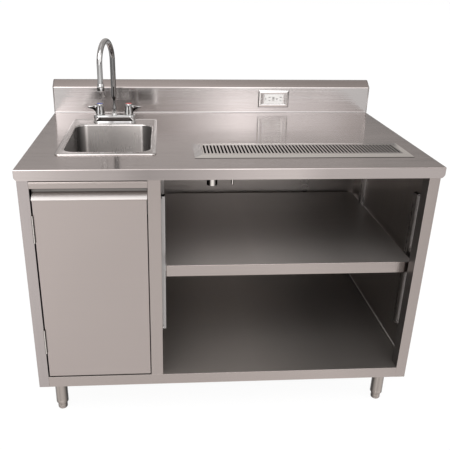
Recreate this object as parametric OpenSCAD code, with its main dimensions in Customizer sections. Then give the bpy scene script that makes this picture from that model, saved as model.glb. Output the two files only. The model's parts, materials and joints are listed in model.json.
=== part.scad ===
// Stainless steel beverage table: a drop-in hand sink with a gooseneck faucet over a cupboard,
// a drain trough over an open bay with one removable shelf, and a boxed splash at the back.
// Millimetres. X runs to the right, Y to the back and Z up. The origin is on the floor, under
// the middle of the worktop.

/* [Table] */
// Width of the worktop
table_w = 1219; // [1160:1:1500]
// Depth of the worktop, splash included
table_d = 762; // [740:1:860]
// Height of the worktop's face above the floor
top_z = 899; // [880:1:940]
// Height of the cabinet's underside above the floor
body_z = 152.4; // [135:0.1:170]

/* [Sheet] */
// Thickness of the worktop and splash sheet
top_t = 1.5; // [1.2:0.1:2]
// Thickness of the cabinet's sheet
body_t = 1.2; // [0.9:0.1:1.5]

/* [Worktop] */
// Height of the apron round the worktop
apron_h = 33.5; // [28:0.5:38]
// Depth of the hem turned in at the front apron's foot
apron_hem = 14; // [8:1:16]
// Size of the cut at the apron's lower front corners
corner_cut = 8; // [4:1:10]
// Radius of the worktop's rounded edges
top_edge_r = 3.5; // [2.5:0.1:5]
// Distance of the cabinet's front behind the worktop's edge
overhang = 20; // [17:1:30]
// Distance of the cabinet's back ahead of the splash's back
back_inset = 13.8; // [8:0.1:20]
// Width of a stiffening channel under the worktop
channel_w = 50; // [40:1:60]
// Height of a stiffening channel under the worktop
channel_h = 25; // [15:1:30]
// Place of the rear channels behind the middle of the space from the faucet's nuts to the back
rear_channel_y = 0; // [-10:1:10]
// Place of the middle stiffening channel behind the table's middle
mid_channel_y = 5; // [-40:1:120]

/* [Splash] */
// Height of the splash's upright face
splash_face_h = 97; // [88:1:130]
// Rise of the splash's sloping top
slope_rise = 22; // [18:1:34]
// Run of the splash's sloping top
slope_run = 34.5; // [28:0.5:38]
// Depth of the flat along the splash's back edge
splash_flat = 15; // [10:1:20]
// Depth of the foot that the splash turns in over the worktop
splash_foot = 13.5; // [8:0.5:20]

/* [Cabinet] */
// Width of the corner stiles
stile_w = 32.5; // [26:0.5:38]
// Width of the post between the cupboard and the bay
post_w = 38; // [30:1:44]
// Depth of the stiles' and the post's returns
return_d = 43; // [36:1:50]
// Clear width of the cupboard's door opening
cupboard_w = 331.5; // [325:0.5:345]
// Height of the front rail under the bay
bottom_rail_h = 37.6; // [32:0.1:44]
// Height of the header rail above the door
header_h = 61.5; // [56:0.5:66]
// Width of the flanges along the side panels
side_flange = 22; // [15:1:24]
// Height of the upturn along the bottom deck's ends
deck_upturn = 12; // [6:1:20]

/* [Shelf] */
// Height of the shelf's front flange
shelf_front_h = 38; // [30:1:45]
// Height of the shelf's side and back flanges
shelf_flange_h = 25; // [18:1:28]
// Distance of the shelf's front behind the cabinet's front
shelf_setback = 56; // [50:1:90]
// Gap between the shelf and the back panel
shelf_back_gap = 18; // [8:1:30]
// Slot that the shelf clips hang in, counted from the lowest
shelf_slot = 8; // [3:1:11]

/* [Pilasters] */
// Depth of a pilaster's channel
pilaster_d = 12; // [9:0.5:14]
// Width of a pilaster's slotted web
pilaster_web = 22; // [18:1:26]
// Width of a pilaster's screwed flange
pilaster_flange = 10; // [9:0.5:13]
// Height of a pilaster's foot above the bottom deck
pilaster_foot = 104.6; // [60:0.2:120]
// Length of a pilaster
pilaster_len = 474.4; // [440:0.2:500]
// Distance from the table's front or back edge to a pilaster's middle
pilaster_y = 141; // [121:1:181]
// Distance from one slot to the next
slot_pitch = 25.4; // [24:0.1:26]
// Height of a slot
slot_h = 12; // [10:0.5:14]
// Width of a slot
slot_w = 4; // [3:0.1:6]
// Radius of a screw's head
screw_r = 4; // [3:0.1:4.4]

/* [Door] */
// Thickness of the door
door_d = 25; // [20:1:28]
// Gap between the door and the hinge stile
hinge_gap = 4.5; // [3.2:0.1:5]
// Gap between the door and the post
latch_gap = 2.8; // [2.6:0.1:4]
// Gap between the door and the bottom rail
door_foot_gap = 5.5; // [3:0.5:8]
// Height of the finger gap between the door's lip and the header rail
finger_gap = 14; // [12:0.5:20]
// Height of the slope from the door's nose to its lip
pull_rise = 19.5; // [14:0.5:24]
// Depth of the slope from the door's nose to its lip
pull_run = 19.4; // [14:0.2:20]
// Height of the nose along the door's top
nose_h = 3.5; // [2.5:0.1:6]
// Distance that the nose stands out of the door's face
nose_out = 1.4; // [0.8:0.1:2]
// Length that the nose passes the door's edges
nose_over = 1.5; // [0.5:0.1:1.8]

/* [Hinges] */
// Length of a hinge
hinge_len = 84; // [60:1:100]
// Radius of a hinge's barrel
barrel_r = 3.4; // [2.8:0.1:3.6]
// Radius of a hinge's pin
hinge_pin_r = 1.6; // [1.2:0.1:1.8]
// Height of the lower hinge's middle above the bottom rail
low_hinge_z = 138.5; // [100:0.5:180]
// Height of the upper hinge's middle above the bottom rail
high_hinge_z = 523; // [440:1:540]

/* [Sink] */
// Distance from the table's left edge to the sink's middle
sink_from_left = 241; // [238:1:244]
// Distance from the table's front edge to the sink's rim
sink_from_front = 133; // [125:1:140]
// Width of the sink's rim
rim_w = 302; // [296:1:310]
// Depth of the sink's rim from front to back
rim_d = 456; // [450:1:470]
// Corner radius of the sink's rim
rim_r = 15; // [10:1:24]
// Radius of the rolled edge
roll_r = 4.5; // [3.5:0.1:6]
// Width of the bowl's opening
bowl_w = 264; // [220:1:266]
// Corner radius of the bowl
bowl_r = 40; // [32:1:60]
// Depth of the bowl
bowl_h = 254; // [200:1:270]
// Radius between the bowl's wall and floor
bowl_foot_r = 22; // [12:1:26]
// Width of the rim ahead of the bowl
front_land = 36; // [30:1:62]
// Width of the rim behind the bowl, where the faucet stands
faucet_land = 76; // [72:1:110]
// Height of the rim's flat above the worktop
land_h = 2; // [1.5:0.1:3]
// Radius of the drain cup
drain_r = 43; // [36:1:46]
// Depth of the drain cup
drain_h = 50; // [40:1:60]
// Radius of the sink's tailpiece
tailpiece_r = 19.05; // [15:0.05:22]
// Length of the sink's tailpiece
tailpiece_len = 100; // [60:1:140]

/* [Faucet] */
// Distance from the faucet's middle to a handle
handle_offset = 51; // [45:0.5:56]
// Distance from the rim's back edge to the faucet's middle
faucet_inset = 36; // [30:1:44]
// Width of the faucet's base
base_w = 154; // [148:0.2:160]
// Depth of the faucet's base
base_d = 46.8; // [42:0.2:52]
// Height of the faucet's base
base_h = 27.5; // [20:0.5:34]
// Radius of the spout's tube
spout_r = 9.2; // [7:0.05:10]
// Reach of the spout from its stem to its outlet
spout_reach = 140; // [110:1:170]
// Height of the spout's top above the worktop
spout_top = 297; // [270:1:330]
// Height of the outlet's face above the worktop
outlet_h = 135; // [110:1:160]
// Angle of the spout from straight ahead towards the left
spout_turn = 13; // [-60:1:60]
// Height of a handle
handle_h = 38; // [30:1:46]
// Radius of a handle at its foot
handle_foot_r = 16.5; // [14:0.1:18]
// Radius of a handle at its top
handle_top_r = 12.3; // [9:0.1:13.5]
// Distance from a handle's middle to its lever's tip
lever_len = 43.5; // [38:0.5:60]
// Radius of a supply shank
shank_r = 10.3; // [8:0.1:12]
// Length of a supply shank under the rim
shank_len = 60; // [45:1:80]

/* [Trough] */
// Distance from the table's right edge to the trough's surround
trough_from_right = 54.5; // [45:0.5:70]
// Distance from the table's front edge to the trough's surround
trough_from_front = 99; // [80:1:110]
// Length of the trough's surround
surround_w = 660; // [655:1:720]
// Depth of the trough's surround from front to back
surround_d = 156; // [150:1:170]
// Width of the surround's sloping border
border_w = 23.5; // [18:0.5:24]
// Height of the surround above the worktop
surround_h = 5; // [3.5:0.1:7]
// Height of the surround's outer edge
surround_edge = 1; // [0.6:0.1:1.2]
// Thickness of the grate
grate_t = 2; // [1.5:0.1:2.5]
// Distance from one grate slot to the next
grate_pitch = 10.8; // [9:0.1:13]
// Width of a grate slot
grate_slot = 5.5; // [4:0.1:7]
// Length of a grate slot
grate_slot_len = 88; // [70:1:90]
// Width of the ledge that carries the grate
grate_ledge = 5; // [4:0.5:7]
// Height of the trough under the worktop's face
pan_h = 69; // [50:1:72]
// Distance from the trough pan's left wall to its tailpiece
pan_drain_x = 29; // [28:0.5:60]
// Radius of the trough's tailpiece
pan_pipe_r = 16.7; // [12:0.1:20]
// Length of the trough's tailpiece under the pan
pan_pipe_len = 38; // [30:1:60]
// Distance from the tailpiece to the fixing stud
stud_step = 64; // [50:1:90]
// Radius of the fixing stud
stud_r = 4; // [3:0.1:5]

/* [Outlet] */
// Distance from the table's right edge to the outlet's middle
outlet_from_right = 375.5; // [340:0.5:400]
// Height of the outlet's middle above the worktop
outlet_z = 53.6; // [46:0.1:60]
// Width of the outlet's wall plate
plate_w = 119; // [115:1:124]
// Height of the outlet's wall plate
plate_h = 66; // [62:1:72]
// Thickness of the outlet's wall plate
plate_t = 4; // [3:0.1:5]
// Width of the receptacle
device_w = 71.4; // [66:0.2:73]
// Height of the receptacle
device_h = 36; // [33:0.2:38]
// Depth of the outlet box
box_d = 36; // [30:1:40]

/* [Legs] */
// Radius of a leg tube
leg_r = 20.65; // [19:0.05:22]
// Wall of a leg tube
leg_wall = 1.5; // [1.2:0.1:2]
// Distance from the table's left or right edge to a leg's middle
leg_x = 53.5; // [51.5:0.5:110]
// Distance from the table's front or back edge to a leg's middle
leg_y = 106; // [96:1:141]
// Height of a foot's bullet
foot_h = 28; // [22:1:36]
// Radius of a foot's bullet
foot_r = 16; // [12:0.5:18]
// Radius of a foot's rounded lower edge
foot_edge_r = 6; // [3:0.5:8]
// Radius of a foot's threaded stem
stem_r = 8; // [6:0.5:9]

/* [Hidden] */
$fn = 64;
// Running clearance of a pin in its hole
run_fit = 0.05;
// Clearance between faces that pass one another
slip = 0.3;
// Clearance round a piece that drops into a cut-out
drop_fit = 1.5;

half_w = table_w / 2;
half_d = table_d / 2;
deck_z = top_z - top_t;
apron_z = top_z - apron_h;
splash_d = slope_run + splash_flat;
splash_y = half_d - splash_d;
splash_shoulder_z = top_z + splash_face_h;
splash_top_z = splash_shoulder_z + slope_rise;

side_x = half_w - top_t;
wall_x = side_x - body_t;
front_y = -half_d + overhang;
inner_front_y = front_y + body_t;
return_y = front_y + return_d;
back_y = half_d - back_inset;
inner_back_y = back_y - body_t;
stile_x = side_x - stile_w;
rail_top_z = body_z + bottom_rail_h;
header_z = deck_z - header_h;
post_left_x = -stile_x + cupboard_w;
post_right_x = post_left_x + post_w;
body_flange_z = deck_z - body_t;

pilaster_mid_y = half_d - pilaster_y;
pilaster_z = rail_top_z + pilaster_foot;
pilaster_top_z = pilaster_z + pilaster_len;
slot_first_z = pilaster_z + slot_pitch;
slot_count = floor((pilaster_len - slot_pitch - slot_h) / slot_pitch);
clip_ledge_t = 2.5;
clip_rise = 10.8;
clip_z = slot_first_z + shelf_slot * slot_pitch;
shelf_foot_z = clip_z + clip_rise;
shelf_z = shelf_foot_z + shelf_flange_h;
shelf_side_gap = 1.5;
shelf_left_x = post_right_x + pilaster_d + shelf_side_gap;
shelf_right_x = wall_x - pilaster_d - shelf_side_gap;
shelf_front_y = front_y + shelf_setback;
shelf_back_y = inner_back_y - shelf_back_gap;
hem_d = 15;

door_left_x = -stile_x + hinge_gap;
door_right_x = post_left_x - latch_gap;
door_back_y = front_y + door_d;
door_z = rail_top_z + door_foot_gap;
lip_z = header_z - finger_gap;
nose_top_z = lip_z - pull_rise;
nose_z = nose_top_z - nose_h;
lip_y = front_y - nose_out + pull_run;
lip_drop = 8;
liner_z = nose_z - 9;

hinge_x = -stile_x + hinge_gap / 2;
hinge_y = front_y - barrel_r;
hinge_heights = [rail_top_z + low_hinge_z, rail_top_z + high_hinge_z];
knuckle_h = hinge_len / 3;
leaf_t = body_t;
leaf_d = 24;

magnet_w = 18;
magnet_h = 42;
magnet_drop = 54;
magnet_z = nose_z - magnet_drop;
magnet_y = door_back_y + 1.5;

sink_x = -half_w + sink_from_left;
rim_front_y = -half_d + sink_from_front;
rim_back_y = rim_front_y + rim_d;
sink_y = rim_front_y + rim_d / 2;
bowl_d = rim_d - front_land - faucet_land;
bowl_y = rim_front_y + front_land + bowl_d / 2;
sink_t = body_t;
land_z = top_z + land_h;
bowl_lip_r = 6;
bowl_z = land_z - bowl_h;
sink_cut_inset = 12;
drain_flange_r = drain_r + 14;
drain_t = 1.5;
drain_collar_h = 14;
cup_z = bowl_z - drain_h;
basket_r = drain_r - 6;

faucet_y = rim_back_y - faucet_inset;
shank_nut_r = shank_r + 7;
rear_channel_mid_y = (faucet_y + shank_nut_r + inner_back_y) / 2 + rear_channel_y;
base_top_z = land_z + base_h;
base_edge_r = 5;
handle_z = base_top_z + slip;
stem_pin_r = 5;
index_r = handle_top_r - 1;
hub_r = 9.5;
hub_h = 13.5;
collar_r = 7.2;
collar_h = 6;
bell_h = 15;
neck_r = 4.4;
neck_h = 13;
swell_h = 17;
spout_hub_z = base_top_z + hub_h;
spout_foot_z = spout_hub_z + slip;
neck_z = spout_foot_z + collar_h + bell_h;
tube_z = neck_z + neck_h + swell_h;
bend_r = spout_reach / 2;
bend_z = top_z + spout_top - spout_r - bend_r;
spout_wall = 1.5;
aerator_r = spout_r + 2.8;
aerator_h = 25;
aerator_z = top_z + outlet_h;
index_t = 1.4;
index_dome = 1.6;

trough_right_x = half_w - trough_from_right;
trough_x = trough_right_x - surround_w / 2;
trough_y = -half_d + trough_from_front + surround_d / 2;
surround_land = 1.5;
mouth_w = surround_w - 2 * (border_w + surround_land);
mouth_d = surround_d - 2 * (border_w + surround_land);
surround_z = top_z + surround_h;
ledge_z = surround_z - grate_t;
pan_t = body_t;
pan_w = mouth_w - 2 * grate_ledge;
pan_d = mouth_d - 2 * grate_ledge;
pan_z = top_z - pan_h;
pan_r = 12;
grate_gap = 0.8;
grate_slots = floor((pan_w - grate_slot) / grate_pitch) + 1;
pan_drain_at = trough_x - pan_w / 2 + pan_drain_x;

outlet_x = half_w - outlet_from_right;
outlet_mid_z = top_z + outlet_z;
device_y = splash_y - plate_t - 1;
device_gap = 0.4;
box_margin = 18;
box_t = 1.5;
strap_h = 18;
strap_t = 1.2;

plate_screw_step = 48.4;
plate_screw_r = 1.9;
button_w = 7.5;
button_h = 6.8;
button_gap = 1.2;
button_depth = 3.5;
button_out = 1.4;

leg_mid_x = half_w - leg_x;
leg_mid_y = half_d - leg_y;
leg_top_z = rail_top_z - body_t - 6;
plug_lip = 1.5;
leg_foot_z = foot_h + slip + plug_lip;
plug_h = 26;
stem_len = 44;
leg_channel_w = 70;
leg_channel_h = 26;
socket_t = 3;

// A box given by its least and greatest corners
module block(low, high) {
    translate(low) cube(high - low);
}

// A YZ outline carried along X
module along_x(x0, x1) {
    translate([x0, 0, 0]) rotate([90, 0, 90]) linear_extrude(x1 - x0) children();
}

// An XZ outline carried along Y
module along_y(y0, y1) {
    translate([0, y1, 0]) rotate([90, 0, 0]) linear_extrude(y1 - y0) children();
}

// An upright cylinder with a bore
module ring(outer, inner, h) {
    difference() {
        cylinder(r = outer, h = h);
        translate([0, 0, -1]) cylinder(r = inner, h = h + 2);
    }
}

// A rectangle with rounded corners, about the origin
module round_rect(w, d, r) {
    square([w - 2 * r, d], center = true);
    square([w, d - 2 * r], center = true);
    for (sx = [-1, 1], sy = [-1, 1])
        translate([sx * (w / 2 - r), sy * (d / 2 - r)]) circle(r);
}

// An outline, given as outward distance and height, carried round a rounded rectangle
module carry_round(w, d, r) {
    for (turn = [0:90:270]) {
        out = turn % 180 == 0 ? w / 2 : d / 2;
        run = turn % 180 == 0 ? d - 2 * r : w - 2 * r;
        rotate([0, 0, turn]) {
            translate([out, run / 2, 0]) rotate([90, 0, 0]) linear_extrude(run) children();
            translate([out - r, run / 2, 0])
                rotate_extrude(angle = 90) translate([r, 0]) children();
        }
    }
}

// A quarter of a bent sheet: its outer and inner radii, in the quadrant given by two signs
module quarter_bend(outer, inner, sx, sy) {
    intersection() {
        difference() {
            circle(outer);
            circle(inner);
        }
        translate([sx > 0 ? 0 : -outer, sy > 0 ? 0 : -outer]) square(outer);
    }
}

// A flat frustum with mitred corners, standing on z = 0 over an upright edge
module bevelled_slab(w, d, run, edge, h) {
    intersection() {
        along_x(-w / 2, w / 2) polygon([[-d / 2, 0], [-d / 2, edge], [-d / 2 + run, h],
            [d / 2 - run, h], [d / 2, edge], [d / 2, 0]]);
        along_y(-d / 2, d / 2) polygon([[-w / 2, 0], [-w / 2, edge], [-w / 2 + run, h],
            [w / 2 - run, h], [w / 2, edge], [w / 2, 0]]);
    }
}

// A hat channel hung under a face: two flanges, two sides and a web, from x0 to x1
module hat_channel(x0, x1, y, z, w, h, t, flange) {
    along_x(x0, x1) translate([y, z]) {
        for (s = [-1, 1]) {
            translate([s * (w / 2 + flange / 2), -t / 2]) square([flange + 2 * t, t], center = true);
            translate([s * (w / 2 - t / 2), -h / 2]) square([t, h], center = true);
        }
        translate([0, -h + t / 2]) square([w, t], center = true);
    }
}

// The outline of the worktop's upper corner, rounded, down to the apron's foot
module apron_outline(from, to, z0, z1, r, both) {
    translate([from, z0]) square([to - from, z1 - z0 - r]);
    translate([from + r, z0]) square([to - from - (both ? 2 * r : r), z1 - z0]);
    translate([from + r, z1 - r]) circle(r);
    if (both) translate([to - r, z1 - r]) circle(r);
}

// The worktop's outer skin, or the space inside it when inset by the sheet
module worktop_shell(inset) {
    z0 = apron_z - 1;
    r = top_edge_r - inset;
    intersection() {
        along_x(-half_w + inset, half_w - inset) {
            apron_outline(-half_d + inset, half_d + 1, z0, top_z - inset, r, false);
            translate([splash_y, z0]) square([splash_d + 1, top_z - inset - z0]);
        }
        union() {
            along_y(-half_d, splash_y)
                apron_outline(-half_w + inset, half_w - inset, z0, top_z - inset, r, true);
            along_y(splash_y, half_d) translate([-half_w + inset, z0])
                square([2 * (half_w - inset), top_z - inset - z0]);
        }
    }
}

// The cut across the apron's lower corner at the right front
module apron_corner_cut() {
    along_y(-half_d - 1, -half_d + apron_hem + 2) polygon([[half_w - corner_cut, apron_z - 2],
        [half_w - corner_cut, apron_z], [half_w, apron_z + corner_cut],
        [half_w + 1, apron_z + corner_cut], [half_w + 1, apron_z - 2]]);
    along_x(half_w - top_t - 1, half_w + 1) polygon([[-half_d + corner_cut, apron_z - 2],
        [-half_d + corner_cut, apron_z], [-half_d, apron_z + corner_cut],
        [-half_d - 1, apron_z + corner_cut], [-half_d - 1, apron_z - 2]]);
}

module worktop() {
    color("#b4b0ad") difference() {
        worktop_shell(0);
        difference() {
            worktop_shell(top_t);
            block([-half_w, -half_d, apron_z - 3],
                [half_w, -half_d + top_t + apron_hem, apron_z + top_t]);
        }
        block([-half_w - 1, -half_d - 1, apron_z - 3], [half_w + 1, half_d + 2, apron_z]);
        block([-side_x, half_d - top_t, apron_z - 3], [side_x, half_d + 2, top_z + 1]);
        apron_corner_cut();
        mirror([1, 0, 0]) apron_corner_cut();
        translate([sink_x, sink_y, deck_z - 1]) linear_extrude(top_t + 2)
            round_rect(rim_w - 2 * sink_cut_inset, rim_d - 2 * sink_cut_inset, 12);
        translate([trough_x, trough_y, deck_z - 1]) linear_extrude(top_t + 2)
            round_rect(mouth_w + 2 * (pan_t + drop_fit), mouth_d + 2 * (pan_t + drop_fit), 5);
    }
}

module splash() {
    color("#aaa5a2") difference() {
        along_x(-side_x, side_x) polygon([
            [splash_y, top_z], [splash_y, splash_shoulder_z],
            [splash_y + slope_run, splash_top_z], [half_d, splash_top_z],
            [half_d, apron_z], [back_y, apron_z], [back_y, apron_z + top_t],
            [half_d - top_t, apron_z + top_t], [half_d - top_t, splash_top_z - top_t],
            [splash_y + slope_run + top_t / 2, splash_top_z - top_t],
            [splash_y + top_t, splash_shoulder_z - top_t / 2],
            [splash_y + top_t, top_z + top_t],
            [splash_y + splash_foot, top_z + top_t], [splash_y + splash_foot, top_z]]);
        block([outlet_x - device_w / 2 - 2, splash_y - 1, outlet_mid_z - device_h / 2 - 2],
            [outlet_x + device_w / 2 + 2, splash_y + top_t + 1, outlet_mid_z + device_h / 2 + 2]);
        for (s = [-1, 1]) translate([outlet_x + s * plate_screw_step, splash_y - 1, outlet_mid_z])
            rotate([-90, 0, 0]) cylinder(r = plate_screw_r + slip, h = top_t + 2);
    }
}

module splash_end_caps() {
    color("#aaa5a2") for (x = [-half_w, side_x]) along_x(x, x + top_t) polygon([
        [splash_y, top_z], [splash_y, splash_shoulder_z],
        [splash_y + slope_run, splash_top_z], [half_d, splash_top_z], [half_d, top_z]]);
}

module top_channels() {
    flange = 12;
    left_x = -wall_x + side_flange + 1;
    color("#8f8b88") {
        hat_channel(left_x, post_right_x - body_t - hem_d - 1, rear_channel_mid_y, deck_z,
            channel_w, channel_h, body_t, flange);
        for (y = [mid_channel_y, rear_channel_mid_y])
            hat_channel(post_right_x + 1, wall_x - side_flange - 1, y, deck_z,
                channel_w, channel_h, body_t, flange);
    }
}

// The space inside the worktop's aprons, with their rounded upper corners
module under_worktop() {
    along_y(front_y - 1, back_y + 1)
        apron_outline(-side_x, side_x, body_z - 1, deck_z, top_edge_r - top_t, true);
}

// The right-hand corner stile: a face, a return and a lip behind it
module stile() {
    lip = 19;
    block([stile_x, front_y, body_z], [side_x, inner_front_y, deck_z]);
    block([stile_x, front_y, body_z], [stile_x + body_t, return_y, deck_z]);
    block([stile_x, return_y - body_t, body_z], [stile_x + lip, return_y, deck_z]);
}

module left_stile() {
    color("#a8a29f") intersection() {
        mirror([1, 0, 0]) stile();
        under_worktop();
    }
}

module right_stile() {
    color("#a8a29f") intersection() {
        stile();
        under_worktop();
    }
}

module centre_post() {
    color("#a8a29f") {
        block([post_left_x, front_y, rail_top_z], [post_right_x, inner_front_y, deck_z]);
        block([post_left_x, front_y, rail_top_z], [post_left_x + body_t, return_y, deck_z]);
        block([post_right_x - body_t, front_y, rail_top_z], [post_right_x, return_y, deck_z]);
    }
}

module header_rail() {
    flange = 20;
    color("#a8a29f") {
        block([-stile_x, front_y, header_z], [post_left_x, inner_front_y, deck_z]);
        block([-stile_x, front_y, header_z], [post_left_x, front_y + flange, header_z + body_t]);
    }
}

// The right-hand side panel with flanges turned in along its top and foot
module side_panel() {
    block([wall_x, inner_front_y, body_z], [side_x, back_y, deck_z]);
    for (z = [body_z, body_flange_z])
        block([wall_x - side_flange, return_y, z], [side_x, inner_back_y, z + body_t]);
}

module left_side_panel() {
    color("#8d8986") intersection() {
        mirror([1, 0, 0]) side_panel();
        under_worktop();
    }
}

module right_side_panel() {
    color("#8d8986") intersection() {
        side_panel();
        under_worktop();
    }
}

module back_panel() {
    color("#75716f") block([-wall_x, inner_back_y, body_z], [wall_x, back_y, deck_z]);
}

module divider_panel() {
    x = post_right_x - body_t;
    color("#8d8986") {
        block([x, return_y, rail_top_z], [post_right_x, inner_back_y, deck_z]);
        for (z = [rail_top_z, body_flange_z])
            block([x - hem_d, return_y, z], [post_right_x, inner_back_y, z + body_t]);
    }
}

module bottom_deck() {
    z = rail_top_z - body_t;
    color("#827e7b") {
        block([-stile_x, front_y, z], [stile_x, inner_back_y, rail_top_z]);
        block([-stile_x, front_y, body_z], [stile_x, inner_front_y, rail_top_z]);
        block([-stile_x, front_y, body_z], [stile_x, front_y + hem_d, body_z + body_t]);
        block([-stile_x, inner_back_y - body_t, body_z + body_t],
            [stile_x, inner_back_y, rail_top_z]);
        for (s = [0, 1]) mirror([s, 0, 0]) {
            block([stile_x - 1, return_y, z], [wall_x, inner_back_y, rail_top_z]);
            block([wall_x - body_t, return_y, z], [wall_x, inner_back_y, rail_top_z + deck_upturn]);
        }
    }
}

module leg_channels() {
    z = rail_top_z - body_t;
    end_x = wall_x - side_flange - 1;
    color("#8f8b88") for (s = [-1, 1]) {
        block([-end_x, s * leg_mid_y - leg_channel_w / 2, z - body_t],
            [end_x, s * leg_mid_y + leg_channel_w / 2, z]);
        for (side = [-1, 1]) {
            y = s * leg_mid_y + side * (leg_channel_w - body_t) / 2;
            block([-end_x, y - body_t / 2, z - leg_channel_h], [end_x, y + body_t / 2, z]);
        }
    }
}

// A slotted pilaster on a wall whose face is x = 0, standing out towards +X
module pilaster() {
    t = body_t;
    half = pilaster_web / 2;
    difference() {
        translate([0, 0, pilaster_z]) linear_extrude(pilaster_top_z - pilaster_z) {
            translate([pilaster_d - t, -half]) square([t, 2 * half]);
            for (s = [-1, 1]) {
                translate([0, s * (half - t / 2) - t / 2]) square([pilaster_d, t]);
                translate([0, s * (half + pilaster_flange / 2 - t / 2) - pilaster_flange / 2])
                    square([t, pilaster_flange]);
            }
        }
        for (i = [0:slot_count - 1])
            block([pilaster_d - t - 1, -slot_w / 2, slot_first_z + i * slot_pitch - slot_h / 2],
                [pilaster_d + 1, slot_w / 2, slot_first_z + i * slot_pitch + slot_h / 2]);
    }
}

// Children drawn for a wall at x = 0, placed on the divider or mirrored onto the right-hand side
module on_bay_wall(right, y) {
    translate([right ? wall_x : post_right_x, y, 0]) mirror([right ? 1 : 0, 0, 0]) children();
}

module pilaster_left_front() {
    color("#b2aeab") on_bay_wall(false, -pilaster_mid_y) pilaster();
}

module pilaster_left_rear() {
    color("#b2aeab") on_bay_wall(false, pilaster_mid_y) pilaster();
}

module pilaster_right_front() {
    color("#b2aeab") on_bay_wall(true, -pilaster_mid_y) pilaster();
}

module pilaster_right_rear() {
    color("#b2aeab") on_bay_wall(true, pilaster_mid_y) pilaster();
}

module pilaster_screws() {
    head_h = 2.2;
    end = 8;
    y = pilaster_web / 2 + (pilaster_flange - body_t) / 2 + 0.3;
    color("#c8c6c4")
        for (right = [false, true], row = [-1, 1], s = [-1, 1],
            z = [pilaster_z + end, pilaster_top_z - end])
            on_bay_wall(right, row * pilaster_mid_y) translate([body_t, s * y, z])
                rotate([0, 90, 0]) cylinder(r = screw_r, h = head_h);
}

// A shelf clip on a wall at x = 0: a hook in a slot, a back plate and a ledge
module shelf_clip() {
    half = 9;
    reach = 15;
    plate_t = shelf_side_gap - slip;
    face = pilaster_d;
    top = shelf_foot_z;
    block([face, -half, clip_z - slot_h], [face + plate_t, half, top]);
    block([face, -half, top - clip_ledge_t], [face + reach, half, top]);
    block([face - 4, -slot_w / 2 + slip, clip_z - slot_h / 2 + slip],
        [face + 0.5, slot_w / 2 - slip, clip_z + slot_h / 2 - slip]);
}

module shelf_clips() {
    color("#c8c6c4") for (right = [false, true], row = [-1, 1])
        on_bay_wall(right, row * pilaster_mid_y) shelf_clip();
}

module mid_shelf() {
    t = body_t;
    lip = 12;
    rib_w = 60;
    rib_h = 18;
    middle_y = (shelf_front_y + shelf_back_y) / 2;
    color("#989391") {
        block([shelf_left_x, shelf_front_y, shelf_z - t], [shelf_right_x, shelf_back_y, shelf_z]);
        block([shelf_left_x, shelf_front_y, shelf_z - shelf_front_h],
            [shelf_right_x, shelf_front_y + t, shelf_z]);
        block([shelf_left_x, shelf_front_y, shelf_z - shelf_front_h],
            [shelf_right_x, shelf_front_y + lip, shelf_z - shelf_front_h + t]);
        block([shelf_left_x, shelf_back_y - t, shelf_foot_z],
            [shelf_right_x, shelf_back_y, shelf_z]);
        for (x = [shelf_left_x, shelf_right_x - t])
            block([x, shelf_front_y, shelf_foot_z], [x + t, shelf_back_y, shelf_z]);
        hat_channel(shelf_left_x + lip, shelf_right_x - lip, middle_y, shelf_z - t,
            rib_w, rib_h, t, lip);
    }
}

// The finger pull's sheet seen from the side: nose, slope and lip
module pull_outline() {
    t = body_t;
    nose_y = front_y - nose_out;
    polygon([[front_y, nose_z], [nose_y, nose_z + 1], [nose_y, nose_top_z], [lip_y, lip_z],
        [lip_y + t, lip_z], [lip_y + t, lip_z - lip_drop], [lip_y, lip_z - lip_drop],
        [lip_y, lip_z - 1.5 * t], [nose_y + t, nose_top_z - t / 2],
        [nose_y + t, nose_z + 1], [inner_front_y, nose_z]]);
}

module door_skin() {
    t = body_t;
    color("#aba3a0") {
        block([door_left_x, front_y, door_z], [door_right_x, inner_front_y, nose_z]);
        block([door_left_x, front_y, door_z], [door_right_x, door_back_y, door_z + t]);
        for (x = [door_left_x, door_right_x - t])
            block([x, front_y, door_z], [x + t, door_back_y, nose_z]);
        along_x(door_left_x - nose_over, door_right_x + nose_over) pull_outline();
        for (x = [door_left_x - nose_over, door_right_x + nose_over - t])
            along_x(x, x + t) polygon([[front_y, nose_z], [front_y - nose_out, nose_z + 1],
                [front_y - nose_out, nose_top_z], [lip_y, lip_z], [lip_y + t, lip_z],
                [lip_y + t, nose_z]]);
    }
}

module door_liner() {
    t = body_t;
    x0 = door_left_x + t;
    x1 = door_right_x - t;
    color("#8d8986") {
        block([x0, door_back_y - t, door_z + t], [x1, door_back_y, liner_z]);
        block([x0, inner_front_y, liner_z - t], [x1, door_back_y, liner_z]);
    }
}

// One knuckle of a hinge's barrel, bored for the pin
module knuckle(z0, z1) {
    translate([hinge_x, hinge_y, z0]) difference() {
        cylinder(r = barrel_r, h = z1 - z0);
        translate([0, 0, -1]) cylinder(r = hinge_pin_r + run_fit, h = z1 - z0 + 2);
    }
}

module door_hinge_leaves() {
    x1 = door_left_x;
    x0 = x1 - leaf_t;
    notch_y = hinge_y + barrel_r + slip;
    color("#c2bfbd") for (z = hinge_heights) {
        z0 = z - knuckle_h / 2 + slip / 2;
        z1 = z + knuckle_h / 2 - slip / 2;
        knuckle(z0, z1);
        block([x0, hinge_y + hinge_pin_r + 0.6, z0], [x1, hinge_y + leaf_d, z1]);
        block([x0, notch_y, z - hinge_len / 2], [x1, hinge_y + leaf_d, z + hinge_len / 2]);
    }
}

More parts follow.
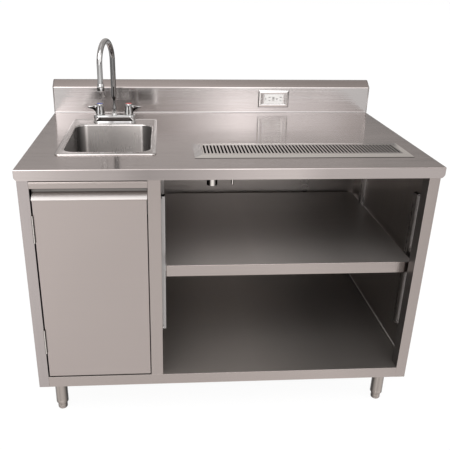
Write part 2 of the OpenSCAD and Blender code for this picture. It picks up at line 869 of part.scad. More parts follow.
module frame_hinge_leaves() {
    x0 = -stile_x;
    x1 = x0 + leaf_t;
    notch_y = hinge_y + barrel_r + slip;
    color("#c2bfbd") for (z = hinge_heights) {
        block([x0, notch_y, z - hinge_len / 2], [x1, hinge_y + leaf_d, z + hinge_len / 2]);
        for (s = [-1, 1]) {
            z0 = z + s * hinge_len / 3 - knuckle_h / 2 + (s > 0 ? slip / 2 : 0);
            z1 = z + s * hinge_len / 3 + knuckle_h / 2 - (s < 0 ? slip / 2 : 0);
            knuckle(z0, z1);
            block([x0, hinge_y + hinge_pin_r + 0.6, z0], [x1, hinge_y + leaf_d, z1]);
        }
    }
}

module hinge_pins() {
    head_h = 1.2;
    color("#d0cecc") for (z = hinge_heights) translate([hinge_x, hinge_y, z - hinge_len / 2]) {
        translate([0, 0, -head_h]) cylinder(r = hinge_pin_r, h = hinge_len + 2 * head_h);
        for (end = [-head_h, hinge_len]) translate([0, 0, end]) cylinder(r = barrel_r - 0.4, h = head_h);
    }
}

module catch_magnet() {
    color("#d8d6d2") block([post_left_x - magnet_w, magnet_y, magnet_z],
        [post_left_x, return_y, magnet_z + magnet_h]);
}

module catch_strike() {
    x1 = door_right_x - body_t - 1;
    plate_t = magnet_y - door_back_y - slip;
    color("#8a8a8c") block([x1 - magnet_w, door_back_y, magnet_z + 3],
        [x1, door_back_y + plate_t, magnet_z + magnet_h - 3]);
}

// The bowl's sheet seen in section, outward from the wall's inner face
module bowl_section() {
    t = sink_t;
    translate([0, bowl_z + bowl_foot_r]) square([t, bowl_h - bowl_foot_r - bowl_lip_r]);
    translate([bowl_lip_r, land_z - bowl_lip_r]) quarter_bend(bowl_lip_r, bowl_lip_r - t, -1, 1);
    translate([-bowl_foot_r, bowl_z + bowl_foot_r])
        quarter_bend(bowl_foot_r + t, bowl_foot_r, 1, -1);
}

module sink_bowl() {
    t = sink_t;
    roll_w = rim_w - 2 * roll_r;
    roll_d = rim_d - 2 * roll_r;
    roll_corner = rim_r - roll_r;
    color("#a39f9c") {
        translate([sink_x, bowl_y, 0]) carry_round(bowl_w, bowl_d, bowl_r) bowl_section();
        difference() {
            translate([sink_x, bowl_y, bowl_z - t]) linear_extrude(t)
                round_rect(bowl_w - 2 * bowl_foot_r, bowl_d - 2 * bowl_foot_r,
                    bowl_r - bowl_foot_r);
            translate([sink_x, bowl_y, bowl_z - 2 * t]) cylinder(r = drain_r + 0.5, h = 4 * t);
        }
        difference() {
            translate([sink_x, sink_y, land_z - t]) linear_extrude(t)
                round_rect(roll_w, roll_d, roll_corner);
            translate([sink_x, bowl_y, land_z - 2 * t]) linear_extrude(4 * t)
                round_rect(bowl_w + 2 * bowl_lip_r, bowl_d + 2 * bowl_lip_r, bowl_r + bowl_lip_r);
            for (s = [-1, 1]) translate([sink_x + s * handle_offset, faucet_y, land_z - 2 * t])
                cylinder(r = shank_r + 2, h = 4 * t);
        }
        translate([sink_x, sink_y, top_z]) carry_round(roll_w, roll_d, roll_corner)
            intersection() {
                circle(roll_r);
                translate([-roll_r, 0]) square([2 * roll_r, roll_r]);
            }
    }
}

module drain_body() {
    cup_floor_t = 2;
    color("#cfcecd") translate([sink_x, bowl_y, 0]) {
        translate([0, 0, bowl_z]) ring(drain_flange_r, drain_r - drain_t, drain_t);
        translate([0, 0, cup_z]) ring(drain_r, drain_r - drain_t, drain_h);
        translate([0, 0, cup_z]) ring(drain_r, tailpiece_r - 3, cup_floor_t);
        translate([0, 0, cup_z - drain_collar_h])
            ring(tailpiece_r + 4, tailpiece_r + run_fit, drain_collar_h);
    }
}

module drain_nuts() {
    lock_h = 10;
    slip_h = 16;
    color("#c2b280") translate([sink_x, bowl_y, 0]) {
        translate([0, 0, bowl_z - sink_t - lock_h])
            ring(drain_r + 10, drain_r + run_fit, lock_h);
        translate([0, 0, cup_z - drain_collar_h - slip_h])
            ring(tailpiece_r + 9, tailpiece_r + run_fit, slip_h);
    }
}

module strainer_basket() {
    t = 1;
    floor_z = bowl_z - 16;
    lip_t = 1.2;
    color("#dcdbda") translate([sink_x, bowl_y, 0]) {
        translate([0, 0, bowl_z + drain_t]) ring(drain_r + 2, basket_r - t, lip_t);
        translate([0, 0, floor_z]) ring(basket_r, basket_r - t, bowl_z + drain_t + lip_t - floor_z);
        difference() {
            translate([0, 0, floor_z]) cylinder(r = basket_r, h = t);
            for (ring_r = [12, 20, 28], i = [0:11]) rotate([0, 0, i * 30])
                translate([ring_r, 0, floor_z - 1]) cylinder(r = 1.8, h = t + 2);
        }
        translate([0, 0, floor_z]) cylinder(r = 2.5, h = 14);
        translate([0, 0, floor_z + 14]) cylinder(r = 7, h = 4);
    }
}

module sink_tailpiece() {
    color("#cfcecd") translate([sink_x, bowl_y, cup_z - tailpiece_len])
        ring(tailpiece_r, tailpiece_r - 1.2, tailpiece_len);
}

// A rounded bar with a rounded top edge, standing on z = 0
module faucet_bar(w, d, h, edge) {
    r = d / 2;
    linear_extrude(h - edge) round_rect(w, d, r - 0.01);
    translate([0, 0, h - edge]) linear_extrude(edge)
        round_rect(w - 2 * edge, d - 2 * edge, r - edge - 0.01);
    translate([0, 0, h - edge]) carry_round(w, d, r - 0.01) intersection() {
        translate([-edge, 0]) circle(edge);
        translate([-edge, 0]) square(edge);
    }
}

module faucet_base() {
    plate_h = 6;
    plate_edge = 2;
    set_in = 1.5;
    boss_h = 4;
    color("#d6d5d6") translate([sink_x, faucet_y, land_z]) {
        faucet_bar(base_w, base_d, plate_h, plate_edge);
        faucet_bar(base_w - 2 * set_in, base_d - 2 * set_in, base_h, base_edge_r);
        translate([0, 0, base_h]) cylinder(r = hub_r + 1.8, h = boss_h);
        translate([0, 0, base_h]) cylinder(r = hub_r, h = hub_h);
    }
}

module faucet_shanks() {
    color("#c2b280") for (s = [-1, 1])
        translate([sink_x + s * handle_offset, faucet_y, land_z - shank_len])
            ring(shank_r, shank_r - 3, shank_len);
}

module shank_nuts() {
    nut_h = 9;
    color("#c8c6c4") for (s = [-1, 1])
        translate([sink_x + s * handle_offset, faucet_y, land_z - sink_t - nut_h])
            ring(shank_nut_r, shank_r + run_fit, nut_h);
}

module valve_stems() {
    color("#c8c6c4") for (s = [-1, 1])
        translate([sink_x + s * handle_offset, faucet_y, base_top_z])
            cylinder(r = stem_pin_r, h = handle_h - 12);
}

// The spout in its own frame: the stem on the Z axis, the outlet towards -Y
module spout_body() {
    leg_foot = aerator_z + aerator_h;
    inner = spout_r - spout_wall;
    translate([0, 0, spout_foot_z]) cylinder(r = collar_r, h = collar_h);
    translate([0, 0, spout_foot_z + collar_h]) cylinder(r1 = collar_r, r2 = neck_r, h = bell_h);
    translate([0, 0, neck_z]) cylinder(r = neck_r, h = neck_h);
    translate([0, 0, neck_z + neck_h]) cylinder(r1 = neck_r, r2 = spout_r, h = swell_h);
    translate([0, 0, tube_z]) ring(spout_r, inner, bend_z - tube_z);
    translate([0, -bend_r, bend_z]) rotate([90, 0, -90]) rotate_extrude(angle = 180)
        translate([bend_r, 0]) difference() {
            circle(spout_r);
            circle(inner);
        }
    translate([0, -spout_reach, leg_foot]) ring(spout_r, inner, bend_z - leg_foot);
}

// Children placed on the spout's axis and turned with it
module at_spout() {
    translate([sink_x, faucet_y, 0]) rotate([0, 0, -spout_turn]) children();
}

module spout() {
    color("#dddcde") at_spout() spout_body();
}

module aerator() {
    cup = 18;
    color("#cfced0") at_spout() translate([0, -spout_reach, aerator_z]) {
        ring(aerator_r - 1.5, spout_r - 2.5, aerator_h);
        translate([0, 0, 2]) ring(aerator_r, spout_r - 2.5, cup);
        translate([0, 0, 6]) cylinder(r = spout_r - 2, h = 1.5);
    }
}

// A fluted handle with its lever towards +X, on the axis of its valve
module faucet_handle() {
    flutes = 6;
    flute_r = 10;
    flute_deep = 2.4;
    flute_shallow = 0.6;
    flute_h = handle_h - 7;
    flute_in = handle_foot_r - handle_top_r - flute_deep + flute_shallow;
    foot_cut = 2.5;
    lever_w = 11;
    lever_t = 6;
    lever_z = 22;
    root_z = 3;
    root_h = 28;
    knee_x = handle_foot_r + 1;
    knee_z = 13;
    knee_h = 17;
    dish = index_t;
    difference() {
        union() {
            difference() {
                union() {
                    cylinder(r1 = handle_foot_r - foot_cut, r2 = handle_foot_r, h = foot_cut);
                    translate([0, 0, foot_cut])
                        cylinder(r1 = handle_foot_r, r2 = handle_top_r, h = handle_h - foot_cut);
                }
                for (i = [0:flutes - 1]) rotate([0, 0, (i + 0.5) * 360 / flutes])
                    translate([handle_foot_r + flute_r - flute_deep, 0, -1])
                        rotate([0, -atan(flute_in / handle_h), 0])
                            cylinder(r = flute_r, h = flute_h + 1);
            }
            hull() {
                translate([0, 0, root_z]) cylinder(r = lever_w / 2, h = root_h, $fn = 32);
                translate([knee_x, 0, knee_z]) cylinder(r = lever_w / 2, h = knee_h, $fn = 32);
            }
            hull() {
                translate([knee_x, 0, knee_z]) cylinder(r = lever_w / 2, h = knee_h, $fn = 32);
                translate([lever_len - lever_w / 2, 0, lever_z])
                    cylinder(r = lever_w / 2, h = lever_t, $fn = 32);
            }
        }
        translate([0, 0, -1]) cylinder(r = stem_pin_r + run_fit, h = handle_h - 10);
        translate([0, 0, handle_h - dish]) cylinder(r = index_r + run_fit, h = dish + 1);
    }
}

module left_handle() {
    color("#b9b8bb") translate([sink_x - handle_offset, faucet_y, handle_z])
        mirror([1, 0, 0]) faucet_handle();
}

module right_handle() {
    color("#b9b8bb") translate([sink_x + handle_offset, faucet_y, handle_z]) faucet_handle();
}

// The coloured button in a handle's top
module index_button() {
    translate([0, 0, handle_h - index_t]) {
        cylinder(r = index_r, h = index_t);
        translate([0, 0, index_t]) cylinder(r1 = index_r, r2 = index_r - 3, h = index_dome);
    }
}

module left_index() {
    color("#2f4fa0") translate([sink_x - handle_offset, faucet_y, handle_z]) index_button();
}

module right_index() {
    color("#b4342c") translate([sink_x + handle_offset, faucet_y, handle_z]) index_button();
}

module trough_pan() {
    t = pan_t;
    color("#a5a19e") translate([trough_x, trough_y, 0]) {
        difference() {
            translate([0, 0, top_z])
                bevelled_slab(surround_w, surround_d, border_w, surround_edge, surround_h);
            difference() {
                translate([0, 0, top_z - t])
                    bevelled_slab(surround_w, surround_d, border_w, surround_edge, surround_h);
                translate([0, 0, top_z])
                    cube([mouth_w + 2 * t, mouth_d + 2 * t, pan_h], center = true);
            }
            translate([0, 0, top_z]) cube([mouth_w, mouth_d, pan_h], center = true);
        }
        difference() {
            translate([-mouth_w / 2 - t, -mouth_d / 2 - t, ledge_z - t])
                cube([mouth_w + 2 * t, mouth_d + 2 * t, t]);
            translate([0, 0, ledge_z - 2 * t]) linear_extrude(3 * t)
                round_rect(pan_w, pan_d, pan_r);
        }
        difference() {
            translate([0, 0, pan_z - t]) linear_extrude(ledge_z - pan_z)
                round_rect(pan_w + 2 * t, pan_d + 2 * t, pan_r + t);
            translate([0, 0, pan_z]) linear_extrude(ledge_z - pan_z + 1)
                round_rect(pan_w, pan_d, pan_r);
            translate([-pan_w / 2 + pan_drain_x, 0, pan_z - 2 * t])
                cylinder(r = pan_pipe_r + 0.5, h = 4 * t);
            translate([-pan_w / 2 + pan_drain_x + stud_step, 0, pan_z - 2 * t])
                cylinder(r = stud_r + 0.5, h = 4 * t);
        }
    }
}

module trough_grate() {
    w = mouth_w - 2 * grate_gap;
    d = mouth_d - 2 * grate_gap;
    half = grate_slot_len / 2 - grate_slot / 2;
    color("#b9b6b4") translate([trough_x, trough_y, ledge_z]) linear_extrude(grate_t)
        difference() {
            square([w, d], center = true);
            for (i = [0:grate_slots - 1]) {
                x = (i - (grate_slots - 1) / 2) * grate_pitch;
                translate([x, 0]) {
                    square([grate_slot, 2 * half], center = true);
                    for (s = [-1, 1]) translate([0, s * half]) circle(grate_slot / 2);
                }
            }
        }
}

module trough_tailpiece() {
    flange_r = pan_pipe_r + 8;
    flange_t = 1.5;
    color("#cfcecd") translate([pan_drain_at, trough_y, 0]) {
        translate([0, 0, pan_z]) ring(flange_r, pan_pipe_r - 1.5, flange_t);
        translate([0, 0, pan_z - pan_t - pan_pipe_len])
            ring(pan_pipe_r, pan_pipe_r - 1.5, pan_t + pan_pipe_len);
    }
}

module trough_stud() {
    head_h = 2.5;
    nut_r = stud_r + 5;
    nut_h = 5;
    color("#c8c6c4") translate([pan_drain_at + stud_step, trough_y, 0]) {
        translate([0, 0, pan_z]) cylinder(r = stud_r + 4, h = head_h);
        translate([0, 0, pan_z - pan_t - pan_pipe_len + 1])
            cylinder(r = stud_r, h = pan_t + pan_pipe_len - 1);
        translate([0, 0, pan_z - pan_t - nut_h]) cylinder(r = nut_r, h = nut_h, $fn = 6);
    }
}

module outlet_box() {
    y0 = splash_y + top_t;
    w = device_w / 2 + box_margin;
    h = device_h / 2 + box_margin;
    color("#9a9a98") difference() {
        block([outlet_x - w, y0, outlet_mid_z - h], [outlet_x + w, y0 + box_d, outlet_mid_z + h]);
        block([outlet_x - w + box_t, y0 - 1, outlet_mid_z - h + box_t],
            [outlet_x + w - box_t, y0 + box_d - box_t, outlet_mid_z + h - box_t]);
    }
}

// The receptacle's holes for one plug: two blades and a round ground hole, about its middle
module plug_holes() {
    deep = 12;
    blade = 2.2;
    ground_r = 2.6;
    translate([0, -1, 0]) {
        for (s = [-1, 1])
            translate([6.4, 0, s * 6.5 - blade / 2]) cube([s > 0 ? 8 : 7, deep, blade]);
        translate([-4.5, 0, 0]) rotate([-90, 0, 0]) cylinder(r = ground_r, h = deep);
    }
}

// The place of a button: 1 for the upper one and -1 for the lower one
function button_mid(side) =
    [outlet_x - 1, outlet_mid_z + side * (button_h + button_gap) / 2];

// A pocket or a body of the buttons' outline, from one depth to another
module button_block(side, grow, y0, y1) {
    mid = button_mid(side);
    block([mid[0] - button_w / 2 - grow, y0, mid[1] - button_h / 2 - grow],
        [mid[0] + button_w / 2 + grow, y1, mid[1] + button_h / 2 + grow]);
}

module outlet_device() {
    body_y = splash_y + 24;
    strap_y = splash_y + top_t;
    strap_w = plate_screw_step + 3;
    color("#f1f0ee") difference() {
        union() {
            block([outlet_x - device_w / 2, device_y, outlet_mid_z - device_h / 2],
                [outlet_x + device_w / 2, body_y, outlet_mid_z + device_h / 2]);
            block([outlet_x - strap_w, strap_y, outlet_mid_z - strap_h / 2],
                [outlet_x + strap_w, strap_y + strap_t, outlet_mid_z + strap_h / 2]);
        }
        for (s = [-1, 1])
            translate([outlet_x + s * plate_screw_step, strap_y - 1, outlet_mid_z])
                rotate([-90, 0, 0]) cylinder(r = plate_screw_r + run_fit, h = strap_t + 2);
        for (x = [-26, 17]) translate([outlet_x + x, device_y, outlet_mid_z]) plug_holes();
        for (side = [-1, 1])
            button_block(side, slip, device_y - 1, device_y + button_depth);
    }
}

// A button of the receptacle with its stop 0.3 mm ahead of its travel's end
module outlet_button(side) {
    travel = 1.2;
    button_block(side, 0, device_y - button_out, device_y + button_depth - travel - slip);
}

module test_button() {
    color("#2b2b2d") outlet_button(1);
}

module reset_button() {
    color("#c9302c") outlet_button(-1);
}

module outlet_plate() {
    run = 3;
    color("#c9c6c2") difference() {
        translate([outlet_x, splash_y, outlet_mid_z]) rotate([90, 0, 0])
            bevelled_slab(plate_w, plate_h, run, 1.2, plate_t);
        block([outlet_x - device_w / 2 - device_gap, splash_y - plate_t - 1,
                outlet_mid_z - device_h / 2 - device_gap],
            [outlet_x + device_w / 2 + device_gap, splash_y + 1,
                outlet_mid_z + device_h / 2 + device_gap]);
        for (s = [-1, 1]) translate([outlet_x + s * plate_screw_step, splash_y + 1, outlet_mid_z])
            rotate([90, 0, 0]) cylinder(r = plate_screw_r + slip, h = plate_t + 2);
    }
}

module plate_screws() {
    head_r = 3.2;
    head_h = 1;
    drive_w = 0.8;
    shank = plate_t + top_t + 8;
    color("#d8d6d4") for (s = [-1, 1])
        translate([outlet_x + s * plate_screw_step, splash_y - plate_t, outlet_mid_z])
            rotate([90, 0, 0]) {
                difference() {
                    cylinder(r = head_r, h = head_h);
                    translate([-drive_w / 2, -head_r, head_h / 2])
                        cube([drive_w, 2 * head_r, head_h]);
                }
                translate([0, 0, -shank]) cylinder(r = plate_screw_r, h = shank);
            }
}

// Children placed at each leg
module at_legs() {
    for (sx = [-1, 1], sy = [-1, 1]) translate([sx * leg_mid_x, sy * leg_mid_y, 0]) children();
}

module leg_sockets() {
    plate = leg_channel_w - 2 * body_t - 4;
    under = rail_top_z - 2 * body_t;
    sleeve_wall = 2.4;
    sleeve_z = body_z + 3;
    color("#9d9a98") at_legs() {
        translate([-plate / 2, -plate / 2, under - socket_t]) cube([plate, plate, socket_t]);
        translate([0, 0, sleeve_z])
            ring(leg_r + run_fit + sleeve_wall, leg_r + run_fit, under - socket_t - sleeve_z);
    }
}

module leg_tubes() {
    color("#b9b6b4") at_legs() translate([0, 0, leg_foot_z])
        ring(leg_r, leg_r - leg_wall, leg_top_z - leg_foot_z);
}

module foot_plugs() {
    bore = stem_r + run_fit;
    color("#a5a2a0") at_legs() {
        translate([0, 0, leg_foot_z - plug_lip]) ring(leg_r, bore, plug_lip);
        translate([0, 0, leg_foot_z]) ring(leg_r - leg_wall, bore, plug_h);
    }
}

// A bullet foot with its threaded stem, standing on the floor
module foot() {
    rotate_extrude() {
        translate([0, foot_edge_r]) square([foot_r, foot_h - foot_edge_r]);
        square([foot_r - foot_edge_r, foot_h]);
        translate([foot_r - foot_edge_r, foot_edge_r]) circle(foot_edge_r);
    }
    translate([0, 0, foot_h]) cylinder(r = stem_r, h = stem_len);
}

module front_left_foot() {
    color("#b3b0ae") translate([-leg_mid_x, -leg_mid_y, 0]) foot();
}

module front_right_foot() {
    color("#b3b0ae") translate([leg_mid_x, -leg_mid_y, 0]) foot();
}

module rear_left_foot() {
    color("#b3b0ae") translate([-leg_mid_x, leg_mid_y, 0]) foot();
}

module rear_right_foot() {
    color("#b3b0ae") translate([leg_mid_x, leg_mid_y, 0]) foot();
}

worktop();
splash();
splash_end_caps();
top_channels();
left_stile();
right_stile();
centre_post();
header_rail();
left_side_panel();
right_side_panel();
back_panel();
divider_panel();
bottom_deck();
leg_channels();
pilaster_left_front();
pilaster_left_rear();
pilaster_right_front();
pilaster_right_rear();
pilaster_screws();
shelf_clips();
mid_shelf();
door_skin();
door_liner();
door_hinge_leaves();
frame_hinge_leaves();
hinge_pins();
catch_magnet();
catch_strike();
sink_bowl();
drain_body();
drain_nuts();
strainer_basket();
sink_tailpiece();
faucet_base();
faucet_shanks();
shank_nuts();
valve_stems();
spout();
aerator();
left_handle();
right_handle();
left_index();
right_index();
trough_pan();
trough_grate();
trough_tailpiece();
trough_stud();
outlet_box();
outlet_device();
outlet_plate();
plate_screws();
test_button();
reset_button();
leg_sockets();
leg_tubes();
foot_plugs();
front_left_foot();
front_right_foot();
rear_left_foot();
rear_right_foot();
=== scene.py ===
import json
import math

import bmesh
import bpy
from mathutils import Matrix, Vector

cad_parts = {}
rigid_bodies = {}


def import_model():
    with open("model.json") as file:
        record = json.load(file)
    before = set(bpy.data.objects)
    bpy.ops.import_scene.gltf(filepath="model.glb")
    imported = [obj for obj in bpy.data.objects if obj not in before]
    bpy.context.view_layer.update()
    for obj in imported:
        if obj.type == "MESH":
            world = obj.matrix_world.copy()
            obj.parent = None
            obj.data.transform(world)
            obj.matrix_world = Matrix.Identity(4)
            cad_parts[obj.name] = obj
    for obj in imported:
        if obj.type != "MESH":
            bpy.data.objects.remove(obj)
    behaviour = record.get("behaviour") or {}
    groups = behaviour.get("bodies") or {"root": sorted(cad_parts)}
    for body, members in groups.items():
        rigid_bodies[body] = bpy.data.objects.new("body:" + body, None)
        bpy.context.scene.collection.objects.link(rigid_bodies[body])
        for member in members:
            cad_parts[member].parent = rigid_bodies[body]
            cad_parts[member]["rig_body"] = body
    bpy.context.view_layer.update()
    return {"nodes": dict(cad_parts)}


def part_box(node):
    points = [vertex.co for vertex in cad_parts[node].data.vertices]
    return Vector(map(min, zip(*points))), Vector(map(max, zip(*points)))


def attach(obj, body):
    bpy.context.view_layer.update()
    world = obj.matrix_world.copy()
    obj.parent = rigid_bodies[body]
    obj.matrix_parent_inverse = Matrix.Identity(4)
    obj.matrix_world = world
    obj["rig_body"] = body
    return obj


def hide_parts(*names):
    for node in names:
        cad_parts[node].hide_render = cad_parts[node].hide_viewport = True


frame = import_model()
nodes = frame["nodes"]
scene = bpy.context.scene
print("frame loaded,", len(nodes), "CAD nodes")

mm = 0.001
toDegrees = 57.2958  # from the radians that a shader's arc functions give


# Shader sums: a socket that can be added and scaled like a number
class Wire:
    def __init__(self, tree, socket):
        self.tree = tree
        self.socket = socket

    def pick(self, name):
        return Wire(self.tree, self.socket.node.outputs[name])

    def sum(self, operation, first, second=None):
        given = [first] if second is None else [first, second]
        isVector = any(isinstance(v, Wire) and v.socket.type in ("VECTOR", "RGBA")
                       for v in given)
        if isVector:
            given = [(v, v, v) if isinstance(v, (int, float)) else v for v in given]
        kind = "ShaderNodeVectorMath" if isVector else "ShaderNodeMath"
        return addNode(self.tree, kind, {"operation": operation}, dict(enumerate(given)))

    def __add__(self, other):
        return self.sum("ADD", self, other)

    def __radd__(self, other):
        return self.sum("ADD", other, self)

    def __sub__(self, other):
        return self.sum("SUBTRACT", self, other)

    def __rsub__(self, other):
        return self.sum("SUBTRACT", other, self)

    def __mul__(self, other):
        return self.sum("MULTIPLY", self, other)

    def __rmul__(self, other):
        return self.sum("MULTIPLY", other, self)

    def __truediv__(self, other):
        return self.sum("DIVIDE", self, other)

    def __abs__(self):
        return self.sum("ABSOLUTE", self)

    def clamped(self):
        return addNode(self.tree, "ShaderNodeClamp", {}, {"Value": self})


# Every node comes from here: its settings first, then its sockets' values or wires
def addNode(tree, kind, settings=None, sockets=None, output=0):
    made = tree.nodes.new(kind)
    for name, value in (settings or {}).items():
        if name == "stops":
            ramp = made.color_ramp.elements
            while len(ramp) < len(value):
                ramp.new(0.5)
            for stop, (place, colour) in zip(ramp, value):
                stop.position = place
                stop.color = (*colour, 1)
        else:
            setattr(made, name, value)
    for name, value in (sockets or {}).items():
        if isinstance(value, Wire):
            tree.links.new(value.socket, made.inputs[name])
        else:
            made.inputs[name].default_value = value
    return Wire(tree, made.outputs[output])


def mixColours(tree, amount, first, second):
    first = (*first, 1) if isinstance(first, tuple) else first
    second = (*second, 1) if isinstance(second, tuple) else second
    return addNode(tree, "ShaderNodeMix", {"data_type": "RGBA"},
                   {0: amount, 6: first, 7: second}, 2)


# A curve from a list of (place, level) points; full is the level that a stop of 1 stands for
def levelCurve(tree, value, points, full=1.0):
    low, high = points[0][0], points[-1][0]
    stops = [((place - low) / (high - low), (level / full,) * 3) for place, level in points]
    along = (value - low) / (high - low)
    ramp = addNode(tree, "ShaderNodeValToRGB", {"stops": stops}, {0: along.clamped()})
    grey = addNode(tree, "ShaderNodeSeparateColor", {}, {0: ramp})
    return grey * full


def noise(tree, place, scale, detail, roughness=0.5):
    return addNode(tree, "ShaderNodeTexNoise", {}, {"Vector": place, "Scale": scale,
                                                    "Detail": detail, "Roughness": roughness})


# Painted light and shade: how a finish's level changes along the object's axes
def paintedLightTone(tree, tone, place, fade, full=1.0):
    for axis, points in (fade or {}).items():
        along = addNode(tree, "ShaderNodeSeparateXYZ", {}, {0: place}, axis)
        tone = tone * levelCurve(tree, along, points, full)
    return tone


def emptyMaterial(name):
    made = bpy.data.materials.new(name)
    made.use_nodes = True
    made.node_tree.nodes.clear()
    return made, made.node_tree


def closeMaterial(tree, shader, kind="ShaderNodeOutputMaterial"):
    end = tree.nodes.new(kind)
    tree.links.new(shader.socket, end.inputs["Surface"])


